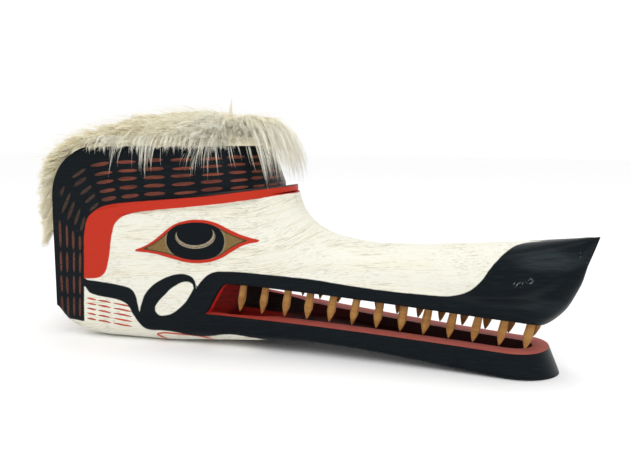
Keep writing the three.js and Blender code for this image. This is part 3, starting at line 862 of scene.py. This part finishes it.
def painted_material():
    g = Graph("painted_cedar_visual")
    u, v, y = (g.attribute(name) for name in ("place_u", "place_v", "model_y"))
    grain, column, row, cheek_column, cheek_row, brow = (g.attribute(name) for name in (
        "grain", "column", "row", "cheek_column", "cheek_row", "brow"))
    side = y * 0.01

    def noise(by_u, by_v, detail=2):
        return g.noise(g.vector(u * by_u, v * by_v, side), 1, detail)

    edge = (noise(0.12, 0.12) - 0.5) * 0.9

    def covered(name, softness=0.55):
        """1 inside a painted shape, with an uneven edge."""
        return g.ramp(g.attribute(name) + edge, softness, -softness)

    def streaks(length, width, seed, detail=4):
        """Noise along the grain of the wood."""
        place = g.vector(u * (1 / length), grain * (1 / width), side + seed)
        return g.noise(place, 1, detail, 0.6, 0.35)

    def lens(across, along, thick, long, bluntness=2):
        """1 inside a dash with round ends."""
        return g.ramp(abs(across / thick) ** 1.5 + abs(along / long) ** bluntness, 1.2, 0.8)

    def centred(value):
        return g.math("FRACT", value) - 0.5

    def hull_line(name, end, width):
        near = g.ramp(abs(g.attribute(name)), width + 0.35, width - 0.35)
        return near * g.ramp(u, HULL_START - 0.5, HULL_START + 0.5) * g.ramp(u, end, end - 12)

    def ellipse(middle_u, middle_v, half_u, half_v):
        """0 in the middle of an ellipse and 1 on its edge."""
        du, dv = (u - middle_u) / half_u, (v - middle_v) / half_v
        return g.math("SQRT", du * du + dv * dv)

    # White paint, with worn spots and lines of bare grain
    fine, broad = streaks(16, 1.1, 0), streaks(60, 6, 3)
    hair_lines, flecks = streaks(22, 0.62, 7, 2), streaks(5.5, 0.62, 11, 2)
    worn = g.ramp(flecks, 0.52, 0.66) * g.ramp(noise(0.025, 0.04), 0.36, 0.6, 0.15, 0.9)
    lines = g.ramp(hair_lines, 0.53, 0.66) * g.ramp(broad, 0.4, 0.6, 0.15, 1)
    strength = g.ramp(u, 260, 350, 0.92, 0.64)
    white = g.blend(g.ramp(broad, 0.42, 0.64, 0, 0.4), WHITE, AGED_WHITE)
    white = g.blend(worn * strength, white, WORN_WHITE)
    white = g.blend(lines * strength, white, GRAIN_LINE)

    # Dashes on the cheek, lines along the keel, black paint and the oval at the jaw
    cheek = lens(centred(cheek_row + 0.5 + edge * 0.2), centred(cheek_column), 0.18, 0.45, 2.5)
    cheek = cheek * g.window(cheek_row, -0.5, 4.5) * g.window(cheek_column, 0.01, 2.99, 0.01)
    dark_red = g.blend(g.ramp(fine, 0.42, 0.62, 0, 0.8), DASH_RED, DASH_SHADE)
    colour = g.blend(cheek, white, dark_red)
    hull = g.math("MAXIMUM", hull_line("hull_upper", 218, 0.8), hull_line("hull_lower", 173, 0.9))
    colour = g.blend(hull, colour, DASH_RED)
    black = g.blend(g.ramp(fine, 0.45, 0.75, 0, 0.5), BLACK, GREY_BLACK)
    is_black = covered("black")
    colour = g.blend(is_black, colour, black)
    colour = g.blend(covered("joint"), colour, white)

    # Rows of dashes on the crest, each a little out of place
    cell = g.vector(g.math("FLOOR", column), g.math("FLOOR", row + 0.5), g.math("SIGN", y))
    luck = g.add("TexWhiteNoise", (cell,), noise_dimensions="3D")
    rear = g.ramp(column, BAND_MITRE - 1.05, BAND_MITRE - 0.95, 1, 0)
    mitre = g.window(column, BAND_MITRE - 1, BAND_MITRE + 1)
    dash = lens(centred(row + (luck - 0.5) * 0.16 + edge * 0.07 + 0.5),
                centred(column + (luck - 0.5) * 0.1), luck * 0.06 + 0.17,
                rear * 0.05 - mitre * 0.06 + 0.39, 3)
    dash = dash * g.window(row, 0.5, 5.5) * g.ramp(column, 0, 0.06)
    dash = dash * g.math("MAXIMUM", g.ramp(row, 1.45, 1.55),
                         g.ramp(column, BAND_MITRE - 0.5, BAND_MITRE - 0.4))
    dash = dash * g.ramp(g.attribute("crest"), -0.8, -2.2)
    dash_colour = BAND_DASH_DARK
    for factor, following in (
            (g.ramp(column, BAND_MITRE + 0.8, BAND_MITRE + 1.8), BAND_DASH),
            (g.ramp(column, BAND_MITRE - 1, BAND_MITRE - 1.1, 0, 0.45), BAND_DASH),
            (luck * 0.35, BLACK), (g.ramp(fine, 0.45, 0.7, 0, 0.65), BLACK)):
        dash_colour = g.blend(factor, dash_colour, following)
    colour = g.blend(dash, colour, dash_colour)

    # A painted highlight in grey above the brow, for its lit top, and the red of the brow and the
    # lid
    brow_top_highlight = (g.ramp(brow, 0.1, 0.6) * g.ramp(brow, 2.6, 1.7) * is_black
             * g.ramp(u, 170, 255) * g.ramp(v, 206, 202))
    colour = g.blend(brow_top_highlight, colour, BROW_TOP_HIGHLIGHT)
    red = g.blend(g.ramp(fine, 0.4, 0.8, 0, 0.25), RED, DRY_RED)
    is_red, is_lid = covered("brow"), covered("lid", 0.45)
    colour = g.blend(is_red, colour, red)
    colour = g.blend(is_lid, colour, red)

    # The eye: bare wood in its corners with painted shade along the lid's inner edge, a black iris
    # and a pale crescent with a groove
    speck = noise(0.5, 1.1, 3)
    rim = g.ramp(g.attribute("iris"), 1.6, 0.8)
    lid_shade = g.ramp(abs(g.attribute("eye") + 0.5), 1, 0.2)
    eye_wood = g.blend(g.ramp(speck, 0.45, 0.7, 0, 0.7), EYE_WOOD, EYE_WOOD_DARK)
    eye_wood = g.blend(rim * 0.7, eye_wood, IRIS_RIM)
    eye_wood = g.blend(lid_shade * 0.85, eye_wood, LID_EDGE_SHADE)
    colour = g.blend(covered("eye", 0.45), colour, eye_wood)
    colour = g.blend(covered("iris", 0.4) * is_lid, colour, BLACK)
    outer, inner = ellipse(195.2, 236.2, 20.1, 12.6), ellipse(194.8, 233.3, 17.9, 11.9)
    crescent = (g.ramp(outer, 1.02, 0.97) * g.ramp(inner, 0.99, 1.04)
                * g.ramp(v + u * 0.1, 249, 251))
    groove = g.ramp(abs(outer + inner - 2.08), 0.05, 0.015, 0, 0.75)
    crescent_colour = g.blend(g.ramp(speck, 0.35, 0.6), CRESCENT, CRESCENT_PALE)
    crescent_colour = g.blend(groove, crescent_colour, CRESCENT_GROOVE)
    colour = g.blend(crescent * 0.95, colour, crescent_colour)

    # Wear on the nose, and a paler painted sheen on its ridge and on the swell of its lip band
    painted_sheen = g.math("MAXIMUM", g.ramp(ellipse(548, 261, 46, 15), 1, 0.3),
                    g.ramp(ellipse(548, 307, 30, 10), 1, 0.3, 0, 0.35))
    colour = g.blend(painted_sheen * is_black * g.ramp(fine, 0.25, 0.6, 0.35, 0.9), colour, NOSE_SHEEN)
    scratch = g.noise(g.vector((u + v * 0.8) * 0.75, (u * 0.8 - v) * 0.16), 1, 3, 0.6)
    rubbed = g.math("MAXIMUM", g.ramp(ellipse(518.5, 284.5, 6.5, 3.5), 1.1, 0.5),
                    g.ramp(ellipse(530, 281.2, 5.5, 3.5), 1.1, 0.5))
    colour = g.blend(g.ramp(scratch, 0.56, 0.63) * rubbed * 0.6, colour, SCUFF)
    chipped = g.noise(g.vector(u * 0.8, v * 0.8), 1, 2)
    chips = g.ramp(chipped, 0.69, 0.73) * g.ramp(ellipse(587, 259, 13, 13), 1, 0.6)
    colour = g.blend(chips * 0.6, colour, CHIP)

    rough = g.blend(is_black, ROUGH_WHITE, ROUGH_BLACK)
    rough = g.blend(g.math("MAXIMUM", is_red, is_lid), rough, ROUGH_RED)
    return g.finish(colour, rough, fine * 0.6 + hair_lines * 0.4, 0.4, 0.0007, 0.1)


def hollow_material(name, colour, changes, streak):
    """Wood that turns from a first colour to others, each between two places along x, with
    streaks of one more colour."""
    g = Graph(name)
    x, y, z = (g.attribute(f"model_{axis}") for axis in "xyz")
    grain = g.noise(g.vector(x * 0.05, y * 0.4, z * 0.4), 1, 5, 0.6, 0.3)
    for start, end, following in changes:
        colour = g.blend(g.ramp(x, start, end), colour, following)
    colour = g.blend(g.ramp(grain, 0.4, 0.75, 0, 0.55), colour, streak)
    return g.finish(colour, 0.65, grain, 0.3, 0.0006, 0.2)


def rim_material():
    g = Graph("rim_red_visual")
    x, y = g.attribute("model_x"), g.attribute("model_y")
    grain = g.noise(g.vector(x * 0.05, y * 0.5), 1, 4, 0.6)
    colour = g.blend(g.ramp(x, -90, 60), (0.47, 0.045, 0.028), (0.5, 0.105, 0.075))
    colour = g.blend(g.ramp(grain, 0.4, 0.75, 0, 0.5), colour, (0.3, 0.05, 0.035))
    return g.finish(colour, 0.6, grain, 0.25, 0.0005, 0.2)


def tooth_material():
    g = Graph("tooth_wood_visual")
    grain = g.stretched_noise((14, 160, 160), 5, 0.6, 0.4)
    colour = g.blend(g.ramp(grain, 0.35, 0.7), (0.37, 0.185, 0.052), (0.23, 0.1, 0.026))
    return g.finish(colour, 0.6, grain, 0.4, 0.0006, 0.2)


def set_materials(mesh, *materials):
    """Gives a mesh its materials in slot order and keeps the slots of its faces."""
    slots = np.empty(len(mesh.polygons), dtype=np.int32)
    mesh.polygons.foreach_get("material_index", slots)
    mesh.materials.clear()
    for material in materials:
        mesh.materials.append(material)
    mesh.polygons.foreach_set("material_index", slots)


# Inside the mouth the red paint turns near black forward of its corner, and the head's hollow turns
# from bare wood to a band of red and then near black forward of the mouth: that near black is
# painted shade for the dark inside.
MAROON = (0.03, 0.004, 0.0035)
mouth = hollow_material("mouth_red_visual", (0.56, 0.02, 0.014), (
    (-66, -44, (0.1, 0.008, 0.007)), (0, 60, MAROON)), MAROON)
hollow = hollow_material("bare_cedar_visual", (0.36, 0.19, 0.09), (
    (-190, -168, (0.66, 0.03, 0.02)), (-148, -126, (0.012, 0.003, 0.003))), (0.06, 0.02, 0.01))
set_materials(head.data, painted_material(), mouth, rim_material(), hollow)


# The teeth

TOOTH_OUTLINE = (
    (0, 0), (1.15, 0.05), (2.5, 0.14), (3.8, 0.25), (4.6, 0.33), (4.8, 0.39), (4.65, 0.48),
    (4.35, 0.64), (4.1, 0.82), (3.95, 1))
TOOTH_SIDES = 10
tooth_wood = tooth_material()


def build_tooth(index, side):
    rings = tooth_points(index, side, 0, TOOTH_OUTLINE, TOOTH_SIDES, 0.9)
    middle = rings.mean(axis=1, keepdims=True)
    facets = 1 + rng.uniform(-0.07, 0.07, (1, TOOTH_SIDES, 1))
    bend = np.array((rng.uniform(-0.7, 0.7), rng.uniform(-0.3, 0.3), 0))
    rings = middle + (rings - middle) * facets + bend * np.linspace(1, 0, len(rings))[:, None, None]
    name = f"tooth_{'right' if side < 0 else 'left'}_{index + 1:02d}"
    tooth = new_object(f"{name}_visual", tube_mesh(f"{name}_visual", rings))
    smooth(tooth.data, 28)
    tooth.data.materials.append(tooth_wood)
    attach(tooth, "root")
    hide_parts(name)


for tooth_side in (-1, 1):
    for tooth_index in range(TOOTH_COUNT):
        build_tooth(tooth_index, tooth_side)


# The fur hide: a body that lies on the crest, and closed hairs that grow from it

HIDE_REAR_X = -312
HIDE_FRONT_X = -52
hide_top = profile(
    (HIDE_REAR_X, 194), (-300, 212), (-271, 229), (-230, 242), (-190, 252), (-150, 258),
    (-110, 257), (-84, 250), (-64, 237), (-56, 228), (HIDE_FRONT_X, 224.8))
hide_rear_hem = profile((HIDE_REAR_X, 150), (-296, 132), (REAR_X, 132))
hide_width = profile(
    (HIDE_REAR_X, 72), (-300, 84), (-285, 90), (-250, 88), (-190, 78.5), (-120, 65),
    (-100, 60), (-80, 47), (-62, 28), (HIDE_FRONT_X, 10))


def hide_hem(x):
    return np.where(x > REAR_X, crest_top(x) + 1, hide_rear_hem(x))


def hide_point(x, turn):
    """A point of the hide's outer side. The turn is 0 on the ridge and 1 at either hem."""
    angle = turn * math.pi / 2
    y = hide_width(x) * np.sign(angle) * np.abs(np.sin(angle)) ** 0.75
    z = mix(hide_hem(x), hide_top(x), np.cos(angle) ** 0.7)
    return joined(x, y, z)


def crest_width(x, z):
    """Half the crest's width at a place, with its round front."""
    width = side_width(x) - crest_inset(x)
    reach = (x - HEAD_ROUNDING_X) / (crest_front(z) - HEAD_ROUNDING_X)
    return np.where(reach > 0, width * np.sqrt(np.clip(1 - reach**2, 0, 1)), width)


REAR_CORNER = np.array((-237, 171))
REAR_CORNER_SIZE = np.array((52, 57))


def clear_of_crest(points, margin=0.6):
    """Moves points that lie inside the crest out to its sides, its front or its rear."""
    p = points.copy()
    x, y, z = (p[..., k] for k in range(3))
    from_corner = p[..., [0, 2]] - REAR_CORNER
    size = np.linalg.norm(from_corner / (REAR_CORNER_SIZE + margin), axis=-1)
    push = ((x < REAR_CORNER[0]) & (z > REAR_CORNER[1]) & (size < 1)
            & (np.abs(y) < crest_width(x, z) - 6))
    x[push], z[push] = (REAR_CORNER + from_corner[push] / size[push][:, None]).T
    inside = (x > REAR_X) & (z < crest_top(x) + margin) & (z > CREST_FOOT_Z - 12)
    shallow = inside & (z > crest_top(x) - 5) & (np.abs(y) < crest_width(x, z) - 4)
    z[shallow] = crest_top(x[shallow]) + margin
    length = crest_front(z) - HEAD_ROUNDING_X + margin
    width = side_width(HEAD_ROUNDING_X) - crest_inset(HEAD_ROUNDING_X) + margin
    size = np.hypot((x - HEAD_ROUNDING_X) / length, y / width)
    forward = inside & ~shallow & (x > HEAD_ROUNDING_X) & (size < 1)
    grow = 1 / np.maximum(size[forward], 0.05)
    x[forward] = HEAD_ROUNDING_X + (x[forward] - HEAD_ROUNDING_X) * grow
    y[forward] *= grow
    edge = crest_width(x, z) + margin
    side = inside & ~shallow & (x <= HEAD_ROUNDING_X) & (np.abs(y) < edge)
    y[side] = np.where(y[side] < 0, -1, 1) * edge[side]
    return p


HIGHEST_HAIR = 278.5
HAIR_STEPS = np.array([0, 0.3, 0.62, 0.88, 1])
HAIR_TAPER = np.array([1, 1, 0.8, 0.45])
HAIR_POINTS = 13


class Coat:
    """Gathers hairs and makes them into one closed mesh. Its layers are calls of undercoat."""

    def __init__(self, *layers):
        self.lines, self.widths, self.tones = [], [], []
        for layer in layers:
            undercoat(self, *layer)

    def add(self, roots, middles, tips, width, tone):
        """Bent hairs from roots by way of middles to tips, in millimetres."""
        tips = np.minimum(tips, (np.inf, np.inf, HIGHEST_HAIR))
        t = HAIR_STEPS[:, None, None]
        line = (1 - t) ** 2 * roots + 2 * t * (1 - t) * middles + t * t * tips
        self.lines.append(clear_of_crest(line).transpose(1, 0, 2))
        count = len(roots)
        self.widths.append(width * rng.uniform(0.7, 1.25, count))
        self.tones.append(np.clip(tone + rng.normal(0, 0.16, count), 0, 1))

    def make(self, name, material):
        """Makes the mesh. A hair has four rings of three points and a point at its tip."""
        lines = np.concatenate(self.lines)
        width, tone = np.concatenate(self.widths), np.concatenate(self.tones)
        count = len(lines)
        ahead = unit(np.gradient(lines, axis=1))
        aside = unit(np.cross(ahead, rng.normal(size=(count, 1, 3))))
        across = np.cross(ahead, aside)
        half = width[:, None, None] * HAIR_TAPER[:, None] / 2
        rings = [lines[:, :4] + half * (math.cos(a) * aside[:, :4] + math.sin(a) * across[:, :4])
                 for a in np.arange(3) * 2 * math.pi / 3]
        points = np.stack(rings, axis=2).reshape(count, 12, 3)
        points = np.concatenate([points, lines[:, 4:]], axis=1)
        faces = [(2, 1, 0)]
        for low in (0, 3, 6):
            for a, b in ((0, 1), (1, 2), (2, 0)):
                faces += [(low + a, low + b, low + b + 3), (low + a, low + b + 3, low + a + 3)]
        faces += [(9, 10, 12), (10, 11, 12), (11, 9, 12)]
        faces = (np.array(faces) + HAIR_POINTS * np.arange(count)[:, None, None]).reshape(-1, 3)
        mesh = bpy.data.meshes.new(name)
        mesh.vertices.add(count * HAIR_POINTS)
        mesh.vertices.foreach_set("co", to_frame(points.reshape(-1, 3)).reshape(-1))
        mesh.loops.add(faces.size)
        mesh.loops.foreach_set("vertex_index", faces.reshape(-1))
        mesh.polygons.add(len(faces))
        mesh.polygons.foreach_set("loop_start", np.arange(len(faces)) * 3)
        mesh.update(calc_edges=True)
        set_values(mesh, along=np.tile(np.repeat(HAIR_STEPS, [3, 3, 3, 3, 1]), count),
                   tone=np.repeat(tone, HAIR_POINTS))
        mesh.shade_smooth()
        mesh.materials.append(material)
        hair = new_object(name, mesh)
        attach(hair, "root")
        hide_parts("fur_hide")


def scattered(count, spread):
    """Soft round scatter that keeps inside its spread."""
    return np.clip(rng.normal(0, 0.45, (count, 3)), -1, 1) * spread


def lock(coat, root, middle, tip, count, root_spread, tip_spread, width, tone, shorter=0.14):
    """A lock whose hairs come together at its tip, where many of them end a little short."""
    root, middle, tip = (np.array(p, float) for p in (root, middle, tip))
    roots = root + scattered(count, root_spread)
    gather = rng.uniform(0.35, 0.75, (count, 1))
    middles = middle + (roots - root) * gather + scattered(count, root_spread * 0.3)
    tips = tip + scattered(count, tip_spread)
    tips = tips + (middle - tip) * np.abs(rng.normal(0, shorter, (count, 1)))
    coat.add(roots, middles, tips, width, tone)


WHORL = (-103, 0)
WHORL_BALD = 14


def flow_at(points):
    """Which way the hair lies: out from a whorl over the crest's front, and backwards."""
    out = (points - (*WHORL, 0)) * (1, 1, 0)
    out = unit(out * (1, 0.8, 1), 1e-3)
    back = smoothstep(-120, -180, points[:, 0])[:, None]
    return unit(mix(out, out * (0, 0.3, 0) + (-0.95, 0, 0.05), back))


hair_tone = profile(
    (HIDE_REAR_X, 0.1), (-220, 0.15), (-160, 0.4), (-120, 0.6), (-100, 1), (-60, 0.8))


def undercoat(coat, count, low_x, high_x, length, lift, fall, width, turn, clump, spread=6.5,
              least=0):
    """Short hair over part of the hide, in small locks that lie along its flow. The turns
    from least to turn are where it grows, with 0 on the ridge and 1 at either hem."""
    clumps = count // clump
    x = rng.uniform(low_x, high_x, clumps)
    turns = rng.uniform(least, turn, clumps) * rng.choice((-1, 1), clumps)
    root = hide_point(x, turns)
    outward = unit(root - joined(x, root[:, 1] * 0.2, 200))
    flow = flow_at(root) + rng.normal(0, 0.11, (clumps, 3))
    from_whorl = np.hypot(*(root[:, :2] - WHORL).T)[:, None]
    size = length * rng.uniform(0.7, 1.2, (clumps, 1)) * np.clip(from_whorl / 24, 0.4, 1)
    steep = fall * (0.35 + np.abs(turns[:, None]))
    tip = root + flow * size + outward * lift * size * 0.5 - (0, 0, 1) * steep * size
    middle = root + flow * size * 0.4 + outward * lift * size
    index = np.repeat(np.flatnonzero(from_whorl[:, 0] > WHORL_BALD), clump)
    shift = scattered(len(index), spread)
    roots = root[index] + shift - outward[index] * 1.5
    tips = tip[index] + shift * 0.3 + scattered(len(index), 2)
    tone = (hair_tone(x) + rng.uniform(-0.3, 0.3, clumps))[index]
    coat.add(roots, middle[index] + shift * 0.7, tips, width, tone)


def fur_material():
    g = Graph("fur_visual")
    along, tone = g.attribute("along"), g.attribute("tone")
    base = g.blend(tone, (0.68, 0.58, 0.34), (0.99, 0.95, 0.77))
    pale = g.blend(tone, (0.88, 0.81, 0.57), (1, 0.985, 0.88))
    colour = g.blend(g.ramp(along, 0.1, 0.7), base, pale)
    return g.finish(colour, 0.55)


def pelt_material():
    g = Graph("pelt_visual")
    tufts = g.stretched_noise((120, 420, 420), 4, 0.6)
    return g.finish(g.blend(tufts, (0.84, 0.76, 0.53), (0.95, 0.9, 0.72)), 0.8, tufts, 0.5, 0.001)


DOORWAY = ((0, 40), (72, 40), (72, 112), (60, 136), (40, 150), (0, 156))


def build_hide():
    sections = []
    for x in steps(HIDE_REAR_X, (HIDE_FRONT_X, 4)):
        arch = hide_point(x, np.linspace(1, 0, 19))
        arch[0, 1] = hide_width(x)
        arch[-1, 1] = 0
        sections.append([(x, 0, hide_hem(x)), *arch.tolist()])
    hide = loft("fur_hide_visual", sections)
    grown = round_front(steps(REAR_X - 0.5, (HEAD_ROUNDING_X, 4)), crest_half,
                        lambda z: crest_front(z) + 0.5, 12)
    grown[..., 1] += 0.5 * (grown[..., 1] > 0)
    grown[..., 2] += 0.5
    combine(hide, loft("crest_margin", grown), "DIFFERENCE")
    door = [[(x, y, z) for y, z in DOORWAY] for x in (-330, -285)]
    combine(hide, loft("doorway", door), "DIFFERENCE")
    smooth(hide.data, 60)
    set_materials(hide.data, pelt_material())
    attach(hide, "root")
    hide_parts("fur_hide")


build_hide()
fur = fur_material()

# A coat's layers of short hair. Each has a count of hairs, the places along x between which
# they grow, their length, lift, fall and width, how far down the sides they go, the hairs of
# a small lock, and for some its spread and where on the sides the layer begins.

# The rear: hair that sweeps back off the crest, and locks that hang behind the open back
Coat(
    (6000, -309, -180, 24, 0.34, 0.25, 0.42, 1, 12, 4.5),
    (400, -306, -196, 30, 0.62, 0.12, 0.27, 1, 1),
    (1500, -309, -214, 13, 0.1, 0.5, 0.34, 1, 10, 4, 0.86),
).make("fur_sweep_visual", fur)
rear_coat = Coat()
for _ in range(116):
    y = rng.uniform(-74, 74)
    z = rng.uniform(max(158, 150 + 0.1 * abs(y)), 196 - 0.1 * abs(y))
    tip = (-319 + rng.uniform(-4, 4), y * 1.03, z - 22)
    lock(rear_coat, (-309, y, z), (-317, y * 1.02, z - 2), tip, 15, 6, 5, 0.4,
         rng.uniform(0.1, 0.4))
for _ in range(150):
    y = rng.uniform(-84, 84)
    hang = smoothstep(45, 80, abs(y))
    start = mix(205, 128, rng.uniform(0, 1) * hang)
    drop = mix(22, 46, hang) * rng.uniform(0.8, 1.15)
    tip = (-322 + rng.uniform(-5, 5), y * 1.02, max(start - drop, 99))
    lock(rear_coat, (-302, y, start), (-320 - 4 * hang, y * 1.02, start - 4), tip, 20, 7, 5.5,
         0.4, rng.uniform(0.15, 0.5), 0.22)
for side in (-1, 1):
    for _ in range(34):
        z = rng.uniform(125, 218)
        middle = (-307, side * rng.uniform(89, 94), z - 6)
        tip = (-319 + rng.uniform(-5, 5), side * rng.uniform(84, 92),
               max(z - rng.uniform(26, 44), 98))
        lock(rear_coat, (-294, side * 82, z), middle, tip, 18, 6, 5, 0.4,
             rng.uniform(0.15, 0.5), 0.22)
rear_coat.make("fur_rear_visual", fur)


def fringe(x, side, lowest, hairs, sway=0, spread=2):
    """A thin lock that falls from the ridge over the crest's edge."""
    out = float(crest_width(x, 200)) + rng.uniform(1.5, 5)
    root = (x + rng.uniform(0, 8), side * out * rng.uniform(0.4, 0.7), float(hide_top(x)) - 4)
    lock(middle_coat, root, (x + 0.6 * sway, side * (out + 4), 240 - 0.2 * abs(sway)),
         (x + sway, side * out, lowest), hairs, spread, 0.8, 0.33, rng.uniform(0.7, 1))


# The middle: smooth short hair on the crown, and thin locks that hang over the crest's edge
Coat((8000, -200, -114, 15, 0.12, 0.18, 0.34, 0.86, 10)).make("fur_crown_visual", fur)
middle_coat = Coat(
    (2200, -236, -84, 9, 0.1, 0.02, 0.34, 1, 10, 5),
    (3400, -232, -78, 8, 0.06, 0.42, 0.3, 1, 10, 4, 0.84),
    (1400, -130, -84, 12, 0.08, 0.3, 0.3, 1, 8, 3, 0.78),
    (420, -280, -100, 30, 0.5, 0.1, 0.26, 0.8, 1),
)
for side in (-1, 1):
    for x, lowest, sway in ((-181, 206, 6), (-178, 189, 5), (-173, 198, 3), (-169, 183, 2),
                            (-165, 195, 0), (-161, 203, -3), (-156, 192, -6), (-151, 205, -9)):
        for _ in range(2):
            fringe(x + rng.uniform(-2, 2), side, lowest + rng.uniform(-3, 6), 5,
                   sway + rng.uniform(-2, 2), 2.4)
    for x, lowest, sway in ((-203, 206, -10), (-199, 195, -14), (-197, 184, -18),
                            (-190, 198, -12)):
        fringe(x, side, lowest, 4, sway)
    for _ in range(7):
        fringe(rng.uniform(-200, -148), side, rng.uniform(186, 204), 1, rng.uniform(-12, 8), 1)
    for start, end in ((-236, -168), (-146, -84)):
        for _ in range(44):
            fringe(rng.uniform(start, end), side, rng.uniform(211, 221), 5,
                   rng.uniform(-9, 3), 2.5)
middle_coat.make("fur_middle_visual", fur)

# The front: hair that spreads from a whorl, with thin locks that fall over the crest
front_coat = Coat(
    (5200, -128, -54, 20, 0.08, 0.1, 0.36, 0.84, 10),
    (160, -136, -70, 30, 0.6, 0.1, 0.26, 0.8, 1),
)


CREST_EDGE_Z = 185


def fan_lock(angle, out, lowest, hairs, spread, tip_spread, swing=0):
    """A lock that runs from the whorl, over the edge of the crest and down."""
    ahead, aside = math.cos(angle), math.sin(angle)
    reach_x = (crest_front(CREST_EDGE_Z) - WHORL[0] + out) * (ahead if ahead > 0 else ahead * 0.6)
    reach_y = (crest_width(WHORL[0], CREST_EDGE_Z) + 2 + out * 0.25) * aside
    start = rng.uniform(8, 34)
    root = (WHORL[0] + start * ahead, start * aside, 254 - start * 0.1)
    high = 257 + 0.12 * out + rng.uniform(-3, 2)
    middle = (WHORL[0] + reach_x * mix(0.22, 0.95, ahead**2), reach_y * 0.97, high)
    tip = (WHORL[0] + reach_x * 1.02 - swing * aside**2, reach_y * 1.02 + swing * ahead, lowest)
    lock(front_coat, root, middle, tip, hairs, spread, tip_spread, 0.31, rng.uniform(0.7, 1), 0.12)


for side in (-1, 1):
    for angle, lowest in ((0.5, 204), (0.68, 199), (0.82, 208), (0.95, 194), (1.08, 212),
                          (1.2, 192), (1.42, 186), (1.5, 206), (1.66, 197), (1.84, 189),
                          (1.96, 182), (2.1, 194), (2.3, 207)):
        out = rng.uniform(3, 9)
        for _ in range(2):
            fan_lock(side * (angle + rng.normal(0, 0.02)), out, lowest + rng.uniform(-2, 4),
                     5, 1.8, 0.8, rng.normal(3, 4))
    for _ in range(26):
        fan_lock(side * rng.uniform(0.8, 2.3), rng.uniform(3, 10), rng.uniform(184, 206),
                 1, 1, 1, rng.normal(4, 6))
for angle in np.linspace(-0.62, 0.62, 88):
    fan_lock(angle + rng.normal(0, 0.06), rng.uniform(14, 31), rng.uniform(173, 206), 10, 5,
             rng.uniform(1.2, 4), rng.normal(0, 5))
for angle in np.linspace(-2.4, 2.4, 50):
    fan_lock(angle + rng.normal(0, 0.05), rng.uniform(-10, 5), rng.uniform(224, 238), 10, 7, 3.5)
lock(front_coat, (-104, -8, 250), (-103, -9, 266), (-101, -9, 278), 22, 3.5, 1.2, 0.36, 0.9)
front_coat.make("fur_front_visual", fur)


# The stage: a pale floor, soft light and the view of the photograph

def aimed(obj, place, target):
    """An object put at a place and turned towards a target."""
    obj.location = place
    obj.rotation_euler = (Vector(target) - obj.location).to_track_quat("-Z", "Y").to_euler()
    return obj


def soft_light(name, place, target, size, power):
    data = bpy.data.lights.new(name, "AREA")
    data.shape = "DISK"
    data.size = size
    data.energy = power
    aimed(new_object(name, data), place, target)


floor_mesh = bpy.data.meshes.new("floor")
floor_mesh.from_pydata([(-6, -6, 0), (6, -6, 0), (6, 6, 0), (-6, 6, 0)], [], [(0, 1, 2, 3)])
floor_graph = Graph("floor_white")
floor_mottle = floor_graph.stretched_noise((2, 2, 2), 2)
floor_mesh.materials.append(floor_graph.finish(
    floor_graph.blend(floor_mottle, (0.97, 0.97, 0.97), (0.98, 0.98, 0.98)), 0.9))
floor = new_object("floor", floor_mesh)

world = bpy.data.worlds.new("studio")
world.use_nodes = True
world.node_tree.nodes["Background"].inputs["Color"].default_value = (1, 1, 1, 1)
world.node_tree.nodes["Background"].inputs["Strength"].default_value = 1.0
bpy.context.scene.world = world
soft_light("key", (0.5, -1.3, 1.4), (0, 0, 0.1), 1.2, 9)
soft_light("top", (-0.3, 0.4, 1.6), (0, 0, 0.15), 1.4, 5)

camera_data = bpy.data.cameras.new("camera")
camera_data.sensor_width = 36
camera_data.lens = 42.79
camera_data.clip_end = 50
bpy.context.scene.camera = aimed(
    new_object("camera", camera_data), (0.36211, -0.75726, 0.24005), (0.009, 0, 0.122625))
bpy.context.scene.view_settings.view_transform = "Standard"
